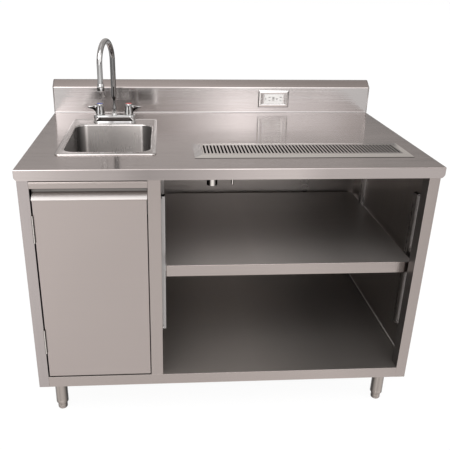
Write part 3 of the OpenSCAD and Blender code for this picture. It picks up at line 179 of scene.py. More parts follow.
# Brushed sheet: fine lines along the grain lean each point's normal a little across it,
# so reflections smear across the grain and stay crisp along it
steelFinishes = {
    "worktopSteel": dict(colour=(0.485, 0.436, 0.420), grain=(1, 0, 0), roughness=0.12,
                         smear=0.22, lines=0.012, cloud=0.03),
    # The apron's steel carries painted reflection: its fade along X paints lighter and darker
    # bands
    "apronPaintedReflectionSteel": dict(colour=(0.475, 0.425, 0.408), grain=(1, 0, 0), roughness=0.10,
                       smear=0.20, lines=0.012, cloud=0.02,
                       fade={"X": [(-0.60, 1.14), (-0.45, 1.0), (-0.33, 0.97), (-0.24, 0.80),
                                   (-0.12, 0.90), (0.02, 1.06), (0.18, 1.12), (0.27, 0.98),
                                   (0.60, 1.04)]}),
    "splashSteel": dict(colour=(0.53, 0.50, 0.49), grain=(1, 0, 0), roughness=0.13,
                        smear=0.15, lines=0.008, cloud=0.02),
    "slopeSteel": dict(colour=(0.50, 0.448, 0.43), grain=(1, 0, 0), roughness=0.20,
                       smear=0.20, lines=0.030, cloud=0.03),
    "doorSteel": dict(colour=(0.457, 0.399, 0.377), grain=(1, 0, 0), roughness=0.30,
                      smear=0.06, lines=0.010, cloud=0.015),
    "railSteel": dict(colour=(0.445, 0.39, 0.366), grain=(1, 0, 0), roughness=0.22,
                      smear=0.20, lines=0.012, cloud=0.03),
    "stileSteel": dict(colour=(0.445, 0.40, 0.388), grain=(0, 0, 1), roughness=0.22,
                       smear=0.20, lines=0.012, cloud=0.03),
    # Shelf and deck: painted light, brighter towards the front opening and darker towards the back
    # and both ends
    "shelfPaintedLightSteel": dict(colour=(0.52, 0.486, 0.465), grain=(1, 0, 0), roughness=0.36,
                       smear=0.12, lines=0.020, cloud=0.05, metal=0.75,
                       fade={"Y": [(-0.34, 1.7), (-0.20, 1.45), (-0.10, 1.15), (0.0, 0.92),
                                   (0.12, 0.80), (0.35, 0.76)],
                             "X": [(-0.20, 0.76), (-0.06, 0.98), (0.10, 1.06), (0.22, 0.88),
                                   (0.38, 0.62), (0.60, 0.52)]}),
    "deckPaintedLightSteel": dict(colour=(0.375, 0.344, 0.322), grain=(1, 0, 0), roughness=0.36,
                      smear=0.12, lines=0.020, cloud=0.05, metal=0.75,
                      fade={"Y": [(-0.36, 1.35), (-0.20, 1.18), (-0.08, 1.0), (0.05, 0.84),
                                  (0.20, 0.66), (0.36, 0.52)],
                            "X": [(-0.60, 0.80), (-0.20, 0.84), (-0.04, 1.04), (0.10, 1.04),
                                  (0.24, 0.80), (0.38, 0.62), (0.60, 0.56)]}),
    # Inside walls: painted shade, a darker copy of the steel, darker still towards the front
    # opening
    "wallPaintedShadeSteel": dict(colour=(0.29, 0.262, 0.245), grain=(0, 0, 1), roughness=0.30,
                      smear=0.20, lines=0.020, cloud=0.06, metal=0.9,
                      fade={"Y": [(-0.38, 0.62), (-0.31, 0.66), (-0.24, 1.0), (0.0, 1.1),
                                  (0.36, 1.2)]}),
    # Painted shade: a near-black copy of the steel for the right stile's inner return
    "paintedShadeCheekSteel": dict(colour=(0.17, 0.156, 0.148), grain=(0, 0, 1), roughness=0.34,
                       smear=0.20, lines=0.020, cloud=0.06, metal=0.8),
    "shadeSteel": dict(colour=(0.20, 0.185, 0.175), grain=(0, 0, 1), roughness=0.34,
                       smear=0.20, lines=0.020, cloud=0.06, metal=0.9),
    # The bowl: a pale half-metal steel; its sheen list paints bright upright highlights near the
    # rear corners and darker bands towards the sides
    "bowlPaintedSheenSteel": dict(colour=(0.66, 0.615, 0.59), grain=(0, 0, 1), roughness=0.28,
                      smear=0.06, lines=0.006, cloud=0.02, metal=0.45,
                      paintedSheen=[(-180, 0.5), (-100, 0.18), (-75, 0.04), (-50, 0.13), (-30, 0.22),
                             (-13, 0.34), (-10, 1.1), (-5, 2.0), (-2, 1.0), (0, 0.78),
                             (2, 0.84), (5, 1.1), (9, 1.75), (14, 1.5), (18, 0.75), (25, 0.50),
                             (38, 0.29), (52, 0.11), (66, 0.05), (82, 0.15), (100, 0.26),
                             (180, 0.5)]),
    # The pull's slope: painted shade, its fade along Z darkening it towards the top under the rail
    "nosePaintedShadeSteel": dict(colour=(0.455, 0.426, 0.411), grain=(1, 0, 0), roughness=0.22,
                      smear=0.06, lines=0.008, cloud=0.01,
                      fade={"Z": [(0.806, 1.0), (0.8118, 0.98), (0.814, 0.84), (0.816, 0.70),
                                  (0.818, 0.60), (0.820, 0.46), (0.823, 0.34)]}),
    # Hinges and pipes: painted sheen, bright where they face ahead and dark towards their sides
    "pipePaintedSheenSteel": dict(colour=(0.62, 0.575, 0.54), grain=(0, 0, 1), roughness=0.18,
                      smear=0.06, lines=0.01, cloud=0.04,
                      paintedSheen=[(-180, 0.3), (-70, 0.07), (-36, 0.08), (-22, 0.5), (-8, 1.3),
                             (10, 1.3), (22, 0.5), (36, 0.08), (70, 0.07), (180, 0.3)]),
    # The trough's surround: a lighter copy of the steel as painted highlight
    "surroundPaintedLightSteel": dict(colour=(0.84, 0.77, 0.73), grain=(1, 0, 0), roughness=0.16,
                          smear=0.12, lines=0.012, cloud=0.03),
    # The deck's hem: a pale half-matte steel as painted highlight along the joint
    "hemPaintedHighlightSteel": dict(colour=(0.80, 0.76, 0.73), grain=(0, 1, 0), roughness=0.34,
                     smear=0.06, lines=0.02, cloud=0.05, metal=0.3),
    # Painted shadow: a dark copy of the steel round the wall plate's left, right and bottom edges
    "outlineSteel": dict(colour=(0.22, 0.205, 0.195), grain=(1, 0, 0), roughness=0.24,
                         smear=0.08, lines=0.01, cloud=0.03),
    "backSteel": dict(colour=(0.42, 0.385, 0.365), grain=(1, 0, 0), roughness=0.30,
                      smear=0.20, lines=0.020, cloud=0.06, metal=0.9),
    "rimSteel": dict(colour=(0.60, 0.57, 0.555), grain=(1, 0, 0), roughness=0.16,
                     smear=0.16, lines=0.012, cloud=0.03),
    # Painted shadow: a near-black copy of the steel for the trough's pan, the grate's slot walls
    # and the faces beside the door gap
    "paintedShadowSteel": dict(colour=(0.05, 0.044, 0.044), grain=(1, 0, 0), roughness=0.30,
                     smear=0.16, lines=0.02, cloud=0.05),
    # The grate: a lighter copy of the steel as painted highlight on its bars, with painted shade
    # darkening it towards the right
    "gratePaintedLightSteel": dict(colour=(0.80, 0.74, 0.71), grain=(0, 1, 0), roughness=0.22,
                       smear=0.14, lines=0.02, cloud=0.04,
                       fade={"X": [(0.05, 1.0), (0.22, 0.90), (0.38, 0.76), (0.53, 0.60)]}),
    # Legs and feet: painted sheen, bright ahead and behind, with dark side bands as a painted
    # reflection of the shaded floor
    "legPaintedSheenSteel": dict(colour=(0.42, 0.372, 0.34), grain=(0, 0, 1), roughness=0.20,
                     smear=0.08, lines=0.02, cloud=0.06,
                     paintedSheen=[(-180, 0.9), (-130, 0.8), (-100, 0.4), (-80, 0.14), (-66, 0.14),
                            (-46, 0.62), (-26, 1.0), (-12, 0.86), (6, 1.05), (26, 0.98),
                            (44, 0.55), (62, 0.08), (80, 0.10), (100, 0.4), (130, 0.8),
                            (180, 0.9)]),
    "fittingSteel": dict(colour=(0.46, 0.44, 0.43), grain=(0, 0, 1), roughness=0.24,
                         smear=0.12, lines=0.02, cloud=0.05),
    "plateSteel": dict(colour=(0.62, 0.60, 0.59), grain=(1, 0, 0), roughness=0.18,
                       smear=0.14, lines=0.01, cloud=0.03),
}


# How often each noise repeats in a metre: lines and streaks along the grain and across it,
# and patches. Shades run from darkest to lightest times the colour
brushing = dict(lines=(5.0, 3600.0), streaks=(1.2, 240.0), patches=3.5, darkest=0.72,
                lightest=1.28, paintedSheenFull=1.5, paintedFadeFull=2.0)


def alongGrain(grain, repeats):
    return tuple(repeats[0] if along else repeats[1] for along in grain)


# A sheen list is painted reflection: (angle, level) pairs giving how bright a curved wall is
# painted by the way it faces, 0 for straight ahead, copying how walls and pipes polished up and
# down mirror the studio. A fade is painted light and shade: it gives an axis a list of (metres
# along it, level)
def brushedSteel(name, colour, grain, roughness, smear, lines, cloud, metal=1.0, paintedSheen=None,
                 fade=None):
    made, tree = emptyMaterial(name)
    place = addNode(tree, "ShaderNodeTexCoord", output="Object")
    line = noise(tree, place * alongGrain(grain, brushing["lines"]), 1.0, 1.0)
    streak = noise(tree, place * alongGrain(grain, brushing["streaks"]), 1.0, 2.0)
    patch = noise(tree, place, brushing["patches"], 3.0, 0.6)
    along = addNode(tree, "ShaderNodeVectorTransform",
                    {"vector_type": "VECTOR", "convert_from": "OBJECT", "convert_to": "WORLD"},
                    {"Vector": grain})
    normal = addNode(tree, "ShaderNodeNewGeometry", output="Normal")
    across = normal.sum("CROSS_PRODUCT", normal, along)
    lean = (line - 0.5) * (2 * smear)
    turned = normal.sum("NORMALIZE", normal + across * lean)
    shade = 1 + (streak - 0.5) * (4 * lines) + (patch - 0.5) * (3 * cloud)
    dark = tuple(brushing["darkest"] * part for part in colour)
    light = tuple(min(1.0, brushing["lightest"] * part) for part in colour)
    tone = mixColours(tree, (shade - 0.5).clamped(), dark, light)
    if paintedSheen:
        facing = addNode(tree, "ShaderNodeSeparateXYZ", {}, {0: normal}, "X")
        turn = facing.sum("ARCTAN2", facing, 0 - facing.pick("Y")) * toDegrees
        upright = (1.3 - abs(facing.pick("Z")) * 1.6).clamped()  # 0 on faces that look up
        level = levelCurve(tree, turn, paintedSheen, brushing["paintedSheenFull"])
        tone = tone * (1 - upright + upright * level)
    tone = paintedLightTone(tree, tone, place, fade, brushing["paintedFadeFull"])
    rough = roughness * (1 + (patch - 0.5) * 0.5) + (streak - 0.5) * 0.02
    shader = addNode(tree, "ShaderNodeBsdfPrincipled", {}, {
        "Base Color": tone, "Metallic": metal, "Roughness": rough, "Normal": turned})
    closeMaterial(tree, shader)
    return made


finishes = {name: brushedSteel(name, **made) for name, made in steelFinishes.items()}

# Plated and cast parts: a smooth coat with faint waves, water spots and dulled patches
plateFinishes = {
    "chrome": dict(colour=(0.66, 0.655, 0.65), roughness=0.04, metal=1.0, wave=0.03),
    # The spout's neck: painted shade, its fade along Y darkening the chrome towards the back over
    # the upright stem
    "neckPaintedShadeChrome": dict(colour=(0.66, 0.655, 0.65), roughness=0.04, metal=1.0, wave=0.03,
                       fade={"Y": [(0.02, 1.0), (0.10, 0.95), (0.135, 0.7), (0.16, 0.4),
                                   (0.19, 0.36)]}),
    # Painted shade: a near-black copy of the chrome for the handles' flutes and blade undersides
    # and the aerator's side band
    "paintedShadeChrome": dict(colour=(0.13, 0.122, 0.118), roughness=0.08, metal=1.0, wave=0.03),
    "dullChrome": dict(colour=(0.55, 0.54, 0.535), roughness=0.12, metal=1.0, wave=0.05),
    "zincPlate": dict(colour=(0.50, 0.49, 0.47), roughness=0.30, metal=1.0, wave=0.10),
    "brass": dict(colour=(0.70, 0.52, 0.24), roughness=0.26, metal=1.0, wave=0.08),
    "whitePlastic": dict(colour=(0.86, 0.85, 0.83), roughness=0.32, metal=0.0, wave=0.04),
    "greyPlastic": dict(colour=(0.42, 0.41, 0.40), roughness=0.40, metal=0.0, wave=0.05),
    "palePlastic": dict(colour=(0.62, 0.61, 0.59), roughness=0.36, metal=0.0, wave=0.05),
    "magnetWhite": dict(colour=(0.72, 0.71, 0.69), roughness=0.45, metal=0.0, wave=0.06),
    "redPlastic": dict(colour=(0.52, 0.07, 0.07), roughness=0.20, metal=0.0, wave=0.04),
    "bluePlastic": dict(colour=(0.06, 0.08, 0.34), roughness=0.20, metal=0.0, wave=0.04),
}


# How often each noise repeats in a metre, the dullest shade and the height of the waves
plating = dict(ripples=60.0, specks=900.0, worn=22.0, dullest=0.82, height=0.0004)


def platedFinish(name, colour, roughness, metal, wave, fade=None):
    made, tree = emptyMaterial(name)
    place = addNode(tree, "ShaderNodeTexCoord", output="Object")
    ripple = noise(tree, place, plating["ripples"], 2.0)
    speck = noise(tree, place, plating["specks"], 2.0)
    worn = noise(tree, place, plating["worn"], 4.0, 0.65)
    dull = tuple(plating["dullest"] * part for part in colour)
    tone = mixColours(tree, (worn * 1.4 - 0.2).clamped(), dull, colour)
    tone = paintedLightTone(tree, tone, place, fade)
    rough = roughness * (0.7 + worn * 0.6) + (speck - 0.5) * (0.2 * roughness)
    bump = addNode(tree, "ShaderNodeBump", {}, {
        "Strength": wave, "Distance": plating["height"], "Height": ripple + speck * 0.2})
    shader = addNode(tree, "ShaderNodeBsdfPrincipled", {}, {
        "Base Color": tone, "Metallic": metal, "Roughness": rough, "Normal": bump})
    closeMaterial(tree, shader)
    return made


finishes.update({name: platedFinish(name, **made) for name, made in plateFinishes.items()})
print("finishes made:", len(finishes))

# Which finish each CAD node wears
nodeFinishes = {
    "worktopSteel": ["worktop", "trough_pan"],
    "splashSteel": ["splash", "splash_end_caps"],
    "doorSteel": ["door_skin"],
    "railSteel": ["header_rail", "centre_post"],
    "stileSteel": ["left_stile", "right_stile"],
    "shelfPaintedLightSteel": ["mid_shelf"],
    "deckPaintedLightSteel": ["bottom_deck"],
    "wallPaintedShadeSteel": ["left_side_panel", "right_side_panel"],
    "backSteel": ["back_panel"],
    "shadeSteel": ["top_channels", "leg_channels", "door_liner", "divider_panel"],
    "bowlPaintedSheenSteel": ["sink_bowl", "sink_tailpiece"],
    "gratePaintedLightSteel": ["trough_grate"],
    "legPaintedSheenSteel": ["leg_tubes", "leg_sockets", "foot_plugs", "front_left_foot",
                 "front_right_foot", "rear_left_foot", "rear_right_foot"],
    "fittingSteel": ["pilaster_left_front", "pilaster_left_rear", "pilaster_right_front",
                     "pilaster_right_rear", "pilaster_screws", "shelf_clips",
                     "drain_body", "strainer_basket"],
    "pipePaintedSheenSteel": ["door_hinge_leaves", "frame_hinge_leaves", "hinge_pins", "trough_tailpiece",
                  "trough_stud"],
    "plateSteel": ["outlet_plate"],
    "chrome": ["faucet_base", "spout", "aerator", "left_handle", "right_handle"],
    "zincPlate": ["catch_strike", "shank_nuts", "outlet_box", "plate_screws",
                  "valve_stems"],
    "brass": ["drain_nuts", "faucet_shanks"],
    "whitePlastic": ["outlet_device"],
    "magnetWhite": ["catch_magnet"],
    "greyPlastic": ["test_button"],
    "palePlastic": ["reset_button"],
    "redPlastic": ["right_index"],
    "bluePlastic": ["left_index"],
}


def dress(piece, finish):
    piece.data.materials.clear()
    piece.data.materials.append(finishes[finish])


for finish, names in nodeFinishes.items():
    for name in names:
        dress(nodes[name], finish)
undressed = set(nodes) - {name for names in nodeFinishes.values() for name in names}
print("nodes dressed, left over:", sorted(undressed))


def bodyOf(nodeName):
    return nodes[nodeName]["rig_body"]


# A node's corners in millimetres
def cornersOf(nodeName):
    low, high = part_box(nodeName)
    return [value / mm for value in low], [value / mm for value in high]


def centreOf(nodeName):
    low, high = cornersOf(nodeName)
    return [(a + b) / 2 for a, b in zip(low, high)]


def addPiece(name, mesh, finish, nodeName, replaced=True):
    piece = bpy.data.objects.new(name, mesh)
    scene.collection.objects.link(piece)
    dress(piece, finish)
    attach(piece, bodyOf(nodeName))
    if replaced:
        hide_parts(nodeName)
    return piece


# Gives the faces that a rule picks a second finish
def paintFaces(piece, finish, rule):
    piece.data.materials.append(finishes[finish])
    slot = len(piece.data.materials) - 1
    for face in piece.data.polygons:
        if rule(face.center / mm, face.normal):
            face.material_index = slot


def faceWidth(face, edge):
    return face.calc_area() / max(edge.calc_length(), 1e-6)


# A long edge between two wide faces is a bend, and any other sharp edge is a sheet's rim.
# Lengths in metres, angles in degrees
folding = dict(weld=2e-6, flat=0.4, sharp=35, bendLength=0.02, bendFace=0.0045, rim=0.0003,
               smooth=50)


def roundEdges(shape, edges, offset, segments):
    if edges:
        bmesh.ops.bevel(shape, geom=edges, offset=offset, segments=segments, profile=0.5,
                        affect="EDGES", clamp_overlap=True)


# A copy of a sheet-metal node with its bends and sheet edges rounded as folded steel is
def foldedCopy(name, nodeName, finish, bend):
    shape = bmesh.new()
    shape.from_mesh(nodes[nodeName].data)
    bmesh.ops.remove_doubles(shape, verts=shape.verts, dist=folding["weld"])
    bmesh.ops.dissolve_limit(shape, angle_limit=math.radians(folding["flat"]),
                             verts=shape.verts, edges=shape.edges, delimit={"NORMAL"})
    sharp = [e for e in shape.edges if len(e.link_faces) == 2
             and e.calc_face_angle(0) > math.radians(folding["sharp"])]
    bends = [e for e in sharp if e.calc_length() > folding["bendLength"]
             and min(faceWidth(f, e) for f in e.link_faces) > folding["bendFace"]]
    rims = [e for e in sharp if e not in set(bends)]
    roundEdges(shape, bends, bend * mm, 3)
    rims = [e for e in rims if e.is_valid and len(e.link_faces) == 2]
    roundEdges(shape, rims, folding["rim"], 1)
    mesh = bpy.data.meshes.new(name)
    shape.to_mesh(mesh)
    shape.free()
    mesh.shade_smooth()
    mesh.set_sharp_from_angle(angle=math.radians(folding["smooth"]))
    piece = addPiece(name, mesh, finish, nodeName)
    even = piece.modifiers.new("evenShading", "WEIGHTED_NORMAL")
    even.keep_sharp = True
    return piece


# The node that each copy stands for, its finish, and its bends' radius in millimetres
foldedParts = {
    "foldedWorktop": ("worktop", "worktopSteel", 1.2),
    "foldedSplash": ("splash", "splashSteel", 3.2),
    "splashEnds": ("splash_end_caps", "slopeSteel", 0.4),
    "doorFront": ("door_skin", "doorSteel", 1.2),
    "centrePost": ("centre_post", "railSteel", 1.4),
    "leftStile": ("left_stile", "stileSteel", 1.4),
    "rightStile": ("right_stile", "railSteel", 1.4),
    "midShelf": ("mid_shelf", "shelfPaintedLightSteel", 1.8),
    "bottomDeck": ("bottom_deck", "deckPaintedLightSteel", 1.8),
    # The trough's pan wears painted shadow
    "troughPan": ("trough_pan", "paintedShadowSteel", 0.6),
    "troughGrate": ("trough_grate", "gratePaintedLightSteel", 0.4),
    "drainBody": ("drain_body", "fittingSteel", 0.4),
    "strainer": ("strainer_basket", "fittingSteel", 0.3),
    "receptacle": ("outlet_device", "whitePlastic", 0.8),
    "doorHinges": ("door_hinge_leaves", "pipePaintedSheenSteel", 0.3),
    "frameHinges": ("frame_hinge_leaves", "pipePaintedSheenSteel", 0.3),
}
folded = {name: foldedCopy(name, *made) for name, made in foldedParts.items()}
deviceFront = cornersOf("outlet_device")[0][1]

# Faces that wear another finish than their part, in order: (part, finish, rule)
secondFinishes = [
    ("foldedWorktop", "apronPaintedReflectionSteel", lambda at, way: abs(way.z) < 0.5),
    ("foldedSplash", "slopeSteel",
     lambda at, way: 0.3 < way.z < 0.97 and way.y < -0.2 and at.z > 950),
    ("midShelf", "railSteel", lambda at, way: way.y < -0.6 and at.y < -300),
    ("bottomDeck", "railSteel", lambda at, way: way.y < -0.6 and at.y < -350),
    # The surround's top gets a lighter copy of the steel as painted highlight
    ("troughPan", "surroundPaintedLightSteel", lambda at, way: at.z > 898.5 and way.z > 0.1),
    # The pull's slope gets painted shade that deepens towards the top
    ("doorFront", "nosePaintedShadeSteel", lambda at, way: at.z > 800 and way.y < -0.2 and way.z > 0.2),
    # The device's faces set back from its front get a greyer plastic as painted shade
    ("receptacle", "palePlastic", lambda at, way: at.y > deviceFront + 1.2),
    # The grate's slot walls get painted shadow
    ("troughGrate", "paintedShadowSteel", lambda at, way: abs(way.x) > 0.6),
    # The surround's faces that turn to the left get a darker steel as painted shade
    ("troughPan", "plateSteel", lambda at, way: at.z > 898.5 and way.x < -0.05),
    # The stile's face beside the door gap gets painted shadow
    ("leftStile", "paintedShadowSteel", lambda at, way: way.x > 0.8),
    # The right stile's inner return gets painted shade
    ("rightStile", "paintedShadeCheekSteel", lambda at, way: way.x < -0.8),
    # The door's side face at the gap gets painted shadow
    ("doorFront", "paintedShadowSteel", lambda at, way: way.x < -0.8),
]
for part, finish, rule in secondFinishes:
    paintFaces(folded[part], finish, rule)
print("sheet parts folded:", len(folded))


# Rings and skins: every turned, lofted and swept piece is a stack of rings, in millimetres
def circleRing(radius, z, steps=64, at=(0, 0)):
    turns = [2 * math.pi * step / steps for step in range(steps)]
    return [(at[0] + radius * math.cos(turn), at[1] + radius * math.sin(turn), z)
            for turn in turns]


def roundRing(width, depth, corner, z, at=(0, 0), perCorner=9):
    ring = []
    for quarter, (sideX, sideY) in enumerate([(1, 1), (-1, 1), (-1, -1), (1, -1)]):
        for step in range(perCorner):
            turn = math.radians(90 * (quarter + step / (perCorner - 1)))
            ring.append((at[0] + sideX * (width / 2 - corner) + corner * math.cos(turn),
                         at[1] + sideY * (depth / 2 - corner) + corner * math.sin(turn), z))
    return ring


def skin(rings, capStart=False, capEnd=False):
    count = len(rings[0])
    points = [point for ring in rings for point in ring]
    faces = []
    for row in range(len(rings) - 1):
        for place in range(count):
            beside = (place + 1) % count
            faces.append((row * count + place, row * count + beside,
                          (row + 1) * count + beside, (row + 1) * count + place))
    if capStart:
        faces.append(tuple(reversed(range(count))))
    if capEnd:
        faces.append(tuple(range((len(rings) - 1) * count, len(rings) * count)))
    return points, faces


def lathe(profile, steps=64, at=(0, 0)):
    return skin([circleRing(radius, z, steps, at) for radius, z in profile])


def closeMesh(name, parts, sharp=35, outward=True):
    points, faces = [], []
    for partPoints, partFaces in parts:
        start = len(points)
        points += [tuple(mm * value for value in point) for point in partPoints]
        faces += [tuple(start + corner for corner in face) for face in partFaces]
    mesh = bpy.data.meshes.new(name)
    mesh.from_pydata(points, [], faces)
    shape = bmesh.new()
    shape.from_mesh(mesh)
    bmesh.ops.remove_doubles(shape, verts=shape.verts, dist=1e-6)
    if outward:
        bmesh.ops.recalc_face_normals(shape, faces=shape.faces)
    shape.to_mesh(mesh)
    shape.free()
    mesh.shade_smooth()
    mesh.set_sharp_from_angle(angle=math.radians(sharp))
    return mesh


# The drop-in sink: one pressed sheet, from its rolled bead over the land and down the bowl
sink = dict(bead=4.5, beadTurns=(0, 22, 45, 67, 90, 112, 134), corner=15, landUp=2.0,
            landSteps=((8.3, 0.5), (9.1, 0.1), (9.9, 0.0)), bowlWidth=264, frontLand=36,
            faucetLand=76, bowlCorner=40, lip=6, foot=22, roundTurns=(0, 18, 36, 54, 72, 90),
            depth=254, sheet=1.2, drain=43.5)


def makeSink():
    low, high = cornersOf("sink_bowl")
    width, depth = high[0] - low[0], high[1] - low[1]
    middle = ((low[0] + high[0]) / 2, (low[1] + high[1]) / 2)
    bead, lip, foot = sink["bead"], sink["lip"], sink["foot"]
    base = high[2] - bead
    land = base + sink["landUp"]
    floor = land - sink["depth"]
    bowlDepth = depth - sink["frontLand"] - sink["faucetLand"]
    bowlAt = (middle[0], low[1] + sink["frontLand"] + bowlDepth / 2)
    rings = []
    for turn in sink["beadTurns"]:
        inset = bead * (1 - math.cos(math.radians(turn)))
        rings.append(roundRing(width - 2 * inset, depth - 2 * inset, sink["corner"] - inset,
                               base + bead * math.sin(math.radians(turn)), middle))
    for inset, rise in sink["landSteps"]:
        rings.append(roundRing(width - 2 * inset, depth - 2 * inset, sink["corner"] - inset,
                               land + rise, middle))

    def bowlRing(inset, z):
        return roundRing(sink["bowlWidth"] - 2 * inset, bowlDepth - 2 * inset,
                         sink["bowlCorner"] - inset, z, bowlAt)

    for turn in sink["roundTurns"]:
        rings.append(bowlRing(-lip * (1 - math.sin(math.radians(turn))),
                              land - lip + lip * math.cos(math.radians(turn))))
    for share in (0.33, 0.66):
        rings.append(bowlRing(0, land - lip + share * (floor + foot - land + lip)))
    for turn in sink["roundTurns"]:
        rings.append(bowlRing(foot * (1 - math.cos(math.radians(turn))),
                              floor + foot - foot * math.sin(math.radians(turn))))
    last = rings[-1]
    spin = [math.atan2(y - bowlAt[1], x - bowlAt[0]) for x, y, z in last]
    hole = [(bowlAt[0] + sink["drain"] * math.cos(a), bowlAt[1] + sink["drain"] * math.sin(a),
             floor) for a in spin]
    rings.append([tuple((p + q) / 2 for p, q in zip(outer, inner))
                  for outer, inner in zip(last, hole)])
    rings.append(hole)
    mesh = closeMesh("sinkBowl", [skin(rings)], 60, outward=False)
    piece = addPiece("sinkBowl", mesh, "bowlPaintedSheenSteel", "sink_bowl")
    paintFaces(piece, "rimSteel", lambda at, way: at.z > land - lip * 0.7)
    sheet = piece.modifiers.new("sheetThickness", "SOLIDIFY")
    sheet.thickness = sink["sheet"] * mm
    sheet.offset = -1


makeSink()

# The faucet's deck plate and body: a flared lip, an upright front and a rolled top
faucetBase = dict(steps=[(0.6, 0.0), (0.0, 0.5), (0.0, 2.4), (0.5, 3.4), (1.4, 4.3), (2.3, 5.2),
                         (2.6, 6.0), (2.6, 7.0), (2.6, 23.4), (2.9, 24.8), (3.9, 26.2),
                         (5.6, 27.1), (8.4, 27.5)],
                  hub=[(0, -0.5), (11.3, -0.5), (11.3, 2.4), (10.7, 3.4), (9.6, 3.9), (9.5, 4.4),
                       (9.5, 9.0), (9.0, 9.6), (8.0, 9.9), (8.0, 10.6), (9.0, 11.0),
                       (9.2, 12.2), (8.4, 13.2), (6.8, 13.5), (0, 13.5)])
baseLow, baseHigh = cornersOf("faucet_base")
stemAt = tuple(centreOf("faucet_base")[:2])


def makeFaucetBase():
    width, depth = baseHigh[0] - baseLow[0], baseHigh[1] - baseLow[1]
    rings = [roundRing(width - 2 * inset, depth - 2 * inset, depth / 2 - inset - 0.02,
                       baseLow[2] + rise, stemAt, 13) for inset, rise in faucetBase["steps"]]
    top = baseLow[2] + faucetBase["steps"][-1][1]
    hub = lathe([(radius, top + rise) for radius, rise in faucetBase["hub"]], 48, stemAt)
    mesh = closeMesh("faucetBody", [skin(rings, True, True), hub])
    addPiece("faucetBody", mesh, "chrome", "faucet_base")


makeFaucetBase()

# The gooseneck: collar, bell and slim neck, then one tube round the bend to the outlet
gooseneck = dict(turn=13, reach=140, radius=9.2, bendSteps=48, around=40,
                 foot=[(0.0, 5.8), (0.5, 6.5), (5.2, 6.5), (5.7, 7.2), (7.6, 7.2), (9.6, 6.9),
                       (13.0, 5.8), (17.0, 4.8), (21.0, 4.4), (34.0, 4.4), (36.5, 4.8),
                       (40.5, 5.9), (45.0, 7.5), (48.6, 8.7), (51.0, 9.2)])


def makeGooseneck():
    footZ = cornersOf("spout")[0][2]
    lean = math.radians(gooseneck["turn"])
    ahead = Vector((-math.sin(lean), -math.cos(lean), 0))
    beside = Vector((math.cos(lean), -math.sin(lean), 0))
    stem = Vector((stemAt[0], stemAt[1], 0))
    bend = gooseneck["reach"] / 2
    top = cornersOf("spout")[1][2] - 0.05  # just inside the CAD's box
    bendZ = top - gooseneck["radius"] - bend
    path = [(stem + Vector((0, 0, footZ + rise)), Vector((0, 0, 1)), radius)
            for rise, radius in gooseneck["foot"]]
    for step in range(gooseneck["bendSteps"] + 1):
        turn = math.pi * step / gooseneck["bendSteps"]
        point = stem + ahead * (bend - bend * math.cos(turn))
        point.z = bendZ + bend * math.sin(turn)
        along = ahead * math.sin(turn) + Vector((0, 0, math.cos(turn)))
        path.append((point, along, gooseneck["radius"]))
    outlet = stem + ahead * gooseneck["reach"]
    outlet.z = cornersOf("aerator")[1][2] - 0.4
    path.append((outlet, Vector((0, 0, -1)), gooseneck["radius"]))
    turns = [2 * math.pi * i / gooseneck["around"] for i in range(gooseneck["around"])]
    rings = []
    for point, along, radius in path:
        out = beside.cross(along)
        rings.append([tuple(point + beside * (radius * math.cos(turn))
                            + out * (radius * math.sin(turn))) for turn in turns])
    mesh = closeMesh("gooseneck", [skin(rings, True, True)])
    addPiece("gooseneck", mesh, "neckPaintedShadeChrome", "spout")
    return outlet


outletAt = makeGooseneck()

# The aerator: a knurled cup with a grooved collar over it
aerator = dict(profile=[(0, 3.4), (8.3, 3.4), (8.7, 0.2), (10.2, 0.0), (10.8, 0.5), (11.0, 2.0),
                        (11.9, 2.6), (12.0, 3.2), (12.0, 12.6), (11.6, 13.2), (11.3, 13.6),
                        (11.3, 14.6), (11.7, 15.0), (12.0, 15.5), (12.0, 18.6), (11.6, 19.6),
                        (10.8, 20.2), (10.5, 21.0), (10.4, 24.0), (9.9, 24.8), (9.0, 25.0),
                        (0, 25.0)])


def makeAerator():
    foot = cornersOf("aerator")[0][2]
    profile = [(radius, foot + rise) for radius, rise in aerator["profile"]]
    mesh = closeMesh("aeratorCup", [lathe(profile, 48, (outletAt.x, outletAt.y))])
    piece = addPiece("aeratorCup", mesh, "chrome", "aerator")
    paintFaces(piece, "dullChrome", lambda at, way: way.z < -0.9 and at.z > foot + 2)
    # The aerator's side band gets painted shade, leaving upright strips just right of centre
    # bright as a painted highlight
    paintFaces(piece, "paintedShadeChrome",
               lambda at, way: foot + 1.5 < at.z < foot + 13 and abs(way.z) < 0.7
               and abs(at.x - outletAt.x - 3) > 2.4)


makeAerator()

# A lever handle: a skirt with six wide flutes, and a blade that sweeps down into its foot
leverHandle = dict(spacing=102, steps=96,
                   heights=[0, 0.3, 0.8, 1.5, 2.5, 3.4, 6, 12, 18, 24, 28, 29.5, 31, 32.2, 35,
                            36.6],
                   foot=16.5, top=12.3, height=38.0, footRound=2.5, flutes=6, deep=2.4,
                   shallow=0.7, fluteTop=32.0, dish=11.35, dishDepth=1.4, halfWidth=5.5,
                   section=[(0.0, 0.0), (0.30, 0.02), (0.40, 0.12), (0.50, 0.34), (0.60, 0.56),
                            (0.74, 0.72), (0.94, 0.78), (1.0, 0.86), (0.94, 0.94), (0.62, 1.0),
                            (0.0, 1.0)],
                   blade=[(6.0, 1.0, 3.0, 31.0), (12.0, 1.0, 3.2, 31.0), (15.5, 1.0, 5.4, 30.9),
                          (18.0, 1.0, 9.4, 30.6), (21.0, 1.0, 13.4, 30.1), (25.0, 1.0, 16.6, 29.5),
                          (31.0, 0.98, 19.2, 28.8), (37.0, 0.94, 21.0, 28.2),
                          (40.6, 0.84, 21.9, 27.7), (42.6, 0.62, 22.9, 26.9),
                          (43.4, 0.30, 24.0, 25.9)])


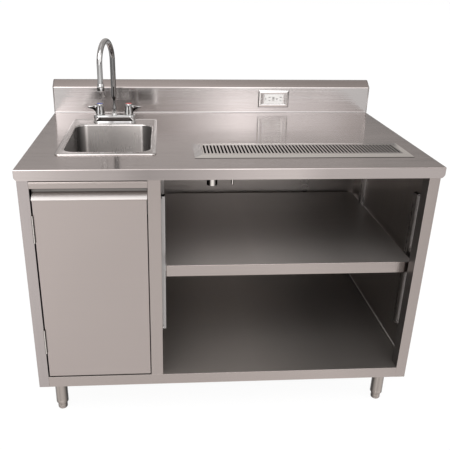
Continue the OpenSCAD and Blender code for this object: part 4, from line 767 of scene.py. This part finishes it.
def skirtRadius(rise, turn):
    made = leverHandle
    if rise < made["footRound"]:
        short = 1 - rise / made["footRound"]
        return made["foot"] - made["footRound"] * (1 - math.sqrt(max(0.0, 1 - short * short)))
    share = (rise - made["footRound"]) / (made["height"] - made["footRound"])
    radius = made["foot"] + share * (made["top"] - made["foot"])
    climb = min(1.0, rise / made["fluteTop"])
    fade = max(0.0, min(1.0, (made["fluteTop"] - rise) / 3.0))
    cut = (made["deep"] + climb * (made["shallow"] - made["deep"])) * fade
    wave = (0.5 + 0.5 * math.cos(made["flutes"] * turn + math.pi)) ** 1.2
    return radius - cut * wave


def makeHandle(name, nodeName, side):
    made = leverHandle
    at = (stemAt[0] + side * made["spacing"] / 2, stemAt[1])
    foot = cornersOf(nodeName)[0][2]
    steps = made["steps"]
    rings = [circleRing(0, foot, steps, at)]
    for rise in made["heights"]:
        ring = []
        for step in range(steps):
            turn = 2 * math.pi * step / steps
            radius = skirtRadius(rise, turn)
            ring.append((at[0] + radius * math.cos(turn), at[1] + radius * math.sin(turn),
                         foot + rise))
        rings.append(ring)
    top = foot + made["height"]
    for radius, drop in ((made["top"], 0.8), (made["top"] - 0.25, 0.25), (made["top"] - 0.6, 0.0),
                         (made["dish"], 0.0), (made["dish"], made["dishDepth"]),
                         (0, made["dishDepth"])):
        rings.append(circleRing(radius, top - drop, steps, at))
    half = made["section"]
    section = half + [(-across, up) for across, up in reversed(half[1:-1])]
    blade = [[(at[0] + side * reach, at[1] + share * made["halfWidth"] * across,
               foot + low + (high - low) * up) for across, up in section]
             for reach, share, low, high in made["blade"]]
    mesh = closeMesh(name, [skin(rings), skin(blade, True, True)], 40)
    piece = addPiece(name, mesh, "chrome", nodeName)

    # Faces in the flutes' hollows and under the blade get painted shade
    def inPaintedShade(face, way):
        rise = face.z - foot
        away = math.hypot(face.x - at[0], face.y - at[1])
        plain = made["foot"] + (rise - made["footRound"]) / (
            made["height"] - made["footRound"]) * (made["top"] - made["foot"])
        onBlade = side * (face.x - at[0]) > made["foot"] + 0.6
        underBlade = onBlade and way.z < 0.3
        return underBlade or (3 < rise < made["fluteTop"] - 3 and not onBlade
                              and 6 < away < plain - 0.75)

    paintFaces(piece, "paintedShadeChrome", inPaintedShade)


makeHandle("coldHandle", "left_handle", -1)
makeHandle("hotHandle", "right_handle", 1)

# The coloured buttons: low domes set in the handles' tops
indexDome = [(0, 0.0), (11.0, 0.0), (11.25, 0.3), (11.25, 1.3), (10.9, 1.7), (9.6, 2.2),
             (7.2, 2.65), (4.0, 2.92), (0, 3.0)]


def makeIndex(name, nodeName, finish):
    foot = cornersOf(nodeName)[0][2]
    middle = centreOf(nodeName)
    profile = [(radius, foot + rise) for radius, rise in indexDome]
    mesh = closeMesh(name, [lathe(profile, 48, (middle[0], middle[1]))])
    addPiece(name, mesh, finish, nodeName)


makeIndex("coldIndex", "left_index", "bluePlastic")
makeIndex("hotIndex", "right_index", "redPlastic")
print("sink and faucet built")

# The outlet's wall plate: a sloping frame round a sunk field, open where the device sits
wallPlate = dict(frame=[(0.0, 0.0), (0.0, 0.6), (0.4, 1.2), (2.8, 2.6), (3.4, 2.9), (8.6, 3.9),
                        (9.4, 4.0), (10.6, 4.0), (11.2, 3.6), (11.8, 2.8), (12.4, 2.6)],
                 opening=(71.9, 36.5), corner=2.0, outline=3.2)


def makeWallPlate():
    low, high = cornersOf("outlet_plate")
    width, height = high[0] - low[0], high[2] - low[2]
    centre = centreOf("outlet_plate")

    def standing(ringWidth, ringHeight, corner, out):
        flat = roundRing(ringWidth, ringHeight, corner, 0, (centre[0], centre[2]), 5)
        return [(x, high[1] - out, z) for x, z, none in flat]

    rings = [standing(width - 2 * inset, height - 2 * inset, max(0.6, wallPlate["corner"] - inset),
                      out) for inset, out in wallPlate["frame"]]
    openWidth, openHeight = wallPlate["opening"]
    rings.append(standing(openWidth, openHeight, 0.5, wallPlate["frame"][-1][1]))
    rings.append(standing(openWidth, openHeight, 0.5, 0.0))
    rings.append(rings[0])
    mesh = closeMesh("wallPlate", [skin(rings)], 30)
    piece = addPiece("wallPlate", mesh, "plateSteel", "outlet_plate")
    edge = wallPlate["outline"]

    # The plate's left, right and bottom edges get a band of painted shadow
    def inPaintedShadow(face, way):
        inside = min(face.x - low[0], high[0] - face.x, face.z - low[2])
        return inside < edge and high[2] - face.z > edge

    paintFaces(piece, "outlineSteel", inPaintedShadow)


makeWallPlate()

# Legs: rolled tubes with a groove near the foot, and bullet feet with two turned lines, each
# as (radius, rise) in millimetres
legTube = [(19.15, 0.0), (20.1, 0.0), (20.65, 0.6), (20.65, 6.0), (20.25, 6.4), (20.25, 7.0),
           (20.65, 7.4), (20.65, 153.0), (19.15, 153.0), (19.15, 0.0)]
bulletFoot = [(0, 0.0), (10.0, 0.0), (12.6, 0.5), (14.6, 1.9), (15.7, 3.9), (16.0, 6.2),
              (16.0, 10.6), (15.4, 11.0), (15.4, 11.9), (16.0, 12.3), (16.0, 20.6),
              (15.4, 21.0), (15.4, 21.9), (16.0, 22.3), (16.0, 27.3), (15.4, 28.0), (8.0, 28.0),
              (8.0, 72.0), (0, 72.0)]


def makeLegs():
    low, high = cornersOf("leg_tubes")
    radius = legTube[2][0]
    tubes = []
    for x in (low[0] + radius, high[0] - radius):
        for y in (low[1] + radius, high[1] - radius):
            profile = [(r, low[2] + rise) for r, rise in legTube]
            tubes.append(lathe(profile, 48, (x, y)))
    addPiece("legTubes", closeMesh("legTubes", tubes), "legPaintedSheenSteel", "leg_tubes")
    for nodeName in ("front_left_foot", "front_right_foot", "rear_left_foot", "rear_right_foot"):
        middle = centreOf(nodeName)
        foot = cornersOf(nodeName)[0][2]
        profile = [(r, foot + rise) for r, rise in bulletFoot]
        name = "bullet" + nodeName.title().replace("_", "").replace("Foot", "")
        addPiece(name, closeMesh(name, [lathe(profile, 48, (middle[0], middle[1]))]), "legPaintedSheenSteel",
                 nodeName)


makeLegs()


# A sheet section in (y, z), pulled along x
def pulled(section, left, right):
    return skin([[(x, y, z) for y, z in section] for x in (left, right)], True, True)


# The header rail: its face stops a little under the apron, with a set-back strip above it
headerRail = dict(faceTop=856.6, setBack=6.5, sheet=1.2, flange=20.0)


def makeHeaderRail():
    low, high = cornersOf("header_rail")
    front, foot, sheet = low[1], low[2], headerRail["sheet"]
    faceTop, back = headerRail["faceTop"], front + headerRail["setBack"]
    outer = [(front + headerRail["flange"], foot), (front + 1.1, foot), (front + 0.3, foot + 0.3),
             (front, foot + 1.1), (front, faceTop - 1.3), (front + 0.4, faceTop - 0.4),
             (front + 1.3, faceTop), (back, faceTop), (back, high[2])]
    inner = [(back + sheet, high[2]), (back + sheet, faceTop - sheet),
             (front + sheet, faceTop - sheet), (front + sheet, foot + sheet),
             (front + headerRail["flange"], foot + sheet)]
    mesh = closeMesh("headerRail", [pulled(outer + inner, low[0], high[0])], 30)
    piece = addPiece("headerRail", mesh, "railSteel", "header_rail")
    # The set-back strip above the face gets painted shade under the apron
    paintFaces(piece, "shadeSteel", lambda at, way: at.z > faceTop - 0.2 and at.y > front + 1.4)


makeHeaderRail()

# Thin trims: the cove where the riser meets the worktop, the turned-up edge of the pull and
# the hem where the deck meets the right wall
trims = dict(cove=3.4, coveSteps=5, pullTop=829.5, pullBack=19.4, pullSheet=1.2,
             wallSheet=1.2, hemFront=-285, hemBack=340, hemFoot=-0.4, hemTop=3.2)


def makeTrims():
    low, high = cornersOf("splash")
    top = cornersOf("worktop")[1][2]
    size = trims["cove"]
    curve = [(low[1] - size + size * math.sin(math.radians(a)),
              top + size - size * math.cos(math.radians(a)))
             for a in [90 * step / trims["coveSteps"] for step in range(trims["coveSteps"] + 1)]]
    section = curve + [(low[1] + 0.2, top + size), (low[1] + 0.2, top - 0.2),
                       (low[1] - size, top - 0.2)]
    mesh = closeMesh("splashCove", [pulled(section, low[0] + 1, high[0] - 1)], 30)
    addPiece("splashCove", mesh, "splashSteel", "splash", replaced=False)
    doorLow, doorHigh = cornersOf("door_skin")
    lipY, lipZ, sheet = doorLow[1] + trims["pullBack"], trims["pullTop"], trims["pullSheet"]
    section = [(lipY, doorHigh[2] - 3), (lipY, lipZ - 0.5), (lipY + 0.4, lipZ),
               (lipY + sheet, lipZ), (lipY + sheet, doorHigh[2] - 3)]
    mesh = closeMesh("pullEdge", [pulled(section, doorLow[0] + 0.5, doorHigh[0] - 0.5)], 30)
    # The pull's turned-up edge wears painted shade
    addPiece("pullEdge", mesh, "shadeSteel", "door_skin", replaced=False)
    deckTop = cornersOf("bottom_deck")[1][2]
    wall = cornersOf("right_side_panel")[1][0] - trims["wallSheet"]
    foot, top = deckTop + trims["hemFoot"], deckTop + trims["hemTop"]
    section = [(trims["hemFront"], foot), (trims["hemFront"], top),
               (trims["hemBack"], top), (trims["hemBack"], foot)]
    mesh = closeMesh("deckHem", [pulled(section, wall - 1.0, wall + 0.3)], 30)
    # The hem is a pale strip that paints a highlight along the joint of deck and wall
    addPiece("deckHem", mesh, "hemPaintedHighlightSteel", "bottom_deck", replaced=False)


makeTrims()
print("plate, legs, rail and trims built")


# Studio: a white paper floor that glows evenly white to the camera, while what metal sees of it is
# painted light: pools near the table and levels by angle farther off, lit from the front and dim
# far off;
# and a soft surround with two bright panels ahead of the table
studio = dict(floorSize=60.0, floorDrop=0.0005, floorColour=(0.86, 0.86, 0.86),
              cameraGlow=0.88, glossGlow=0.62, glow=1.06, near=2.3, fade=0.9, frontEdge=35,
              frontBlend=5,
              ahead=[(-34, 1.10), (-26, 1.30), (-22, 1.38), (-19, 1.18), (-14, 1.0), (-9, 0.88),
                     (-6.5, 0.72), (-5, 0.84), (-1, 0.82), (2, 0.95), (6, 1.08), (10, 1.2),
                     (14.5, 1.28), (19, 1.02), (24, 0.95), (32, 0.90)],
              paintedPools=[(-1.6, 1.10), (-0.95, 1.16), (-0.62, 0.92), (-0.15, 0.88), (0.15, 0.98),
                     (0.45, 1.05), (0.75, 0.86), (1.1, 0.74), (2.0, 0.70)],
              around=[(-180, 0.22), (-150, 0.14), (-84, 0.10), (-78, 0.90),
                      (-66, 0.90), (-60, 0.05), (-40, 0.05), (-34, 0.95), (34, 0.90),
                      (40, 0.05), (60, 0.05), (66, 0.85), (78, 0.85), (84, 0.10),
                      (150, 0.14), (180, 0.22)],
              panels=[(-34, 0.9), (-22, 1.5), (-17, 2.9), (-10.5, 3.0), (-7.6, 1.6),
                      (-5.6, 0.72), (-1.5, 0.72), (1.6, 0.88), (4.6, 1.7), (7.8, 3.0),
                      (9.0, 2.9), (10.2, 1.75), (16.6, 1.55), (18.4, 0.85), (34, 0.75)])


def makeFloor():
    half = studio["floorSize"] / 2
    mesh = bpy.data.meshes.new("studioFloor")
    mesh.from_pydata([(-half, -half, 0), (half, -half, 0), (half, half, 0), (-half, half, 0)],
                     [], [(0, 1, 2, 3)])
    floor = bpy.data.objects.new("studioFloor", mesh)
    scene.collection.objects.link(floor)
    floor.location.z = -studio["floorDrop"]
    made, tree = emptyMaterial("floorPaper")
    rays = addNode(tree, "ShaderNodeLightPath", output="Is Camera Ray")
    glossy = (rays.pick("Is Glossy Ray") + rays.pick("Is Transmission Ray")).clamped()
    share = rays * studio["cameraGlow"] + glossy * studio["glossGlow"]
    place = addNode(tree, "ShaderNodeTexCoord", output="Object")
    axes = addNode(tree, "ShaderNodeSeparateXYZ", {}, {0: place}, "X")
    distance = place.sum("LENGTH", place).pick("Value")
    turn = axes.sum("ARCTAN2", axes, 0 - axes.pick("Y")) * toDegrees
    far = ((distance - studio["near"]) / studio["fade"]).clamped()
    paintedPool = levelCurve(tree, axes, studio["paintedPools"], 1.25)
    ahead = levelCurve(tree, turn, studio["ahead"], 1.5)
    front = ((studio["frontEdge"] - abs(turn)) / studio["frontBlend"]).clamped()
    around = levelCurve(tree, turn, studio["around"]) * (1 - front) + ahead * front
    seen = paintedPool * (1 - far) + around * far
    level = rays + (1 - rays) * seen
    paper = addNode(tree, "ShaderNodeBsdfDiffuse", {}, {"Color": (*studio["floorColour"], 1)})
    white = addNode(tree, "ShaderNodeRGB")
    white.socket.default_value = (1, 1, 1, 1)
    glow = addNode(tree, "ShaderNodeEmission", {}, {"Color": white * level,
                                                    "Strength": studio["glow"]})
    shader = addNode(tree, "ShaderNodeMixShader", {}, {0: share, 1: paper, 2: glow})
    closeMaterial(tree, shader)
    mesh.materials.append(made)


makeFloor()

# The surround: levels by the angle round the table and by the angle over its horizon
surround = dict(ceiling=0.86, ceilingFrom=66.0, ceilingBlend=12, overhead=1.9, frontEdge=36,
                frontBlend=8,
                backdrop=[(-180, 0.62), (-150, 0.56), (-120, 0.50), (120, 0.46), (150, 0.44),
                          (165, 0.56), (180, 0.62)],
                panelRise=[(-4, 0.95), (6, 1.0), (26, 1.0), (38, 0.55), (70, 0.3)],
                overheadRise=[(24, 0.0), (36, 1.0), (62, 1.0), (72, 0.0)],
                backdropRise=[(6, 0.0), (16, 1.0), (60, 1.0), (80, 1.0)],
                warm=(1.0, 0.955, 0.93), cool=(0.985, 0.99, 1.0))


def makeSurround():
    world = bpy.data.worlds.new("studioSurround")
    scene.world = world
    world.use_nodes = True
    tree = world.node_tree
    tree.nodes.clear()
    way = addNode(tree, "ShaderNodeTexCoord", output="Generated")
    axes = addNode(tree, "ShaderNodeSeparateXYZ", {}, {0: way}, "X")
    turn = axes.sum("ARCTAN2", axes, 0 - axes.pick("Y")) * toDegrees
    rise = axes.sum("ARCSINE", axes.pick("Z")) * toDegrees
    panels = levelCurve(tree, turn, studio["panels"], 4.0)
    softFront = levelCurve(tree, rise, surround["panelRise"])
    plainFront = levelCurve(tree, rise, surround["overheadRise"])
    ahead = panels * softFront + plainFront * surround["overhead"]
    around = levelCurve(tree, turn, studio["around"])
    upper = levelCurve(tree, rise, surround["backdropRise"])
    backdrop = levelCurve(tree, turn, surround["backdrop"])
    sides = around * (1 - upper) + backdrop * upper
    front = ((surround["frontEdge"] - abs(turn)) / surround["frontBlend"] + 0.5).clamped()
    tone = sides * (1 - front) + ahead * front
    over = ((rise - surround["ceilingFrom"]) / surround["ceilingBlend"]).clamped()
    tone = tone * (1 - over) + over * surround["ceiling"]
    rays = addNode(tree, "ShaderNodeLightPath", output="Is Camera Ray")
    level = rays + (1 - rays) * tone
    tint = mixColours(tree, ((level - 0.5) * 0.8).clamped(), surround["warm"],
                      surround["cool"])
    sky = mixColours(tree, rays, tint, (1.0, 1.0, 1.0))
    air = addNode(tree, "ShaderNodeBackground", {}, {"Color": sky * level, "Strength": 1.0})
    closeMaterial(tree, air, "ShaderNodeOutputWorld")


makeSurround()

lamps = {
    "keyLamp": dict(at=(-1.9, -1.7, 2.7), aim=(0, 0, 0.75), size=(1.6, 1.2), power=26),
    "fillLamp": dict(at=(2.4, -1.5, 2.1), aim=(0, 0, 0.6), size=(1.6, 1.6), power=14),
}
for name, made in lamps.items():
    light = bpy.data.lights.new(name, "AREA")
    light.shape = "RECTANGLE"
    light.size, light.size_y = made["size"]
    light.energy = made["power"]
    lamp = bpy.data.objects.new(name, light)
    scene.collection.objects.link(lamp)
    lamp.location = made["at"]
    lamp.rotation_euler = (Vector(made["aim"]) - Vector(made["at"])).to_track_quat(
        "-Z", "Y").to_euler()

# The photograph's viewpoint, fitted to the table's corners and edges
shot = dict(at=(-0.2032, -1.9417, 1.3993), yaw=3.922, pitch=23.287, roll=0.838, lens=47.08,
            sensor=36.0, shift=(0.05715, 0.00193), farthest=100)


def makeCamera():
    yaw, pitch, roll = (math.radians(shot[part]) for part in ("yaw", "pitch", "roll"))
    ahead = Vector((math.sin(yaw) * math.cos(pitch), math.cos(yaw) * math.cos(pitch),
                    -math.sin(pitch)))
    right = Vector((math.cos(yaw), -math.sin(yaw), 0))
    up = right.cross(ahead)
    turnedRight = right * math.cos(roll) + up * math.sin(roll)
    turnedUp = up * math.cos(roll) - right * math.sin(roll)
    view = Matrix((turnedRight, turnedUp, -ahead)).transposed().to_4x4()
    view.translation = Vector(shot["at"])
    data = bpy.data.cameras.new("shotCamera")
    camera = bpy.data.objects.new("shotCamera", data)
    scene.collection.objects.link(camera)
    camera.matrix_world = view
    data.lens = shot["lens"]
    data.sensor_width = shot["sensor"]
    data.shift_x, data.shift_y = shot["shift"]
    data.clip_end = shot["farthest"]
    scene.camera = camera


makeCamera()
scene.view_settings.view_transform = "Standard"
print("studio ready")
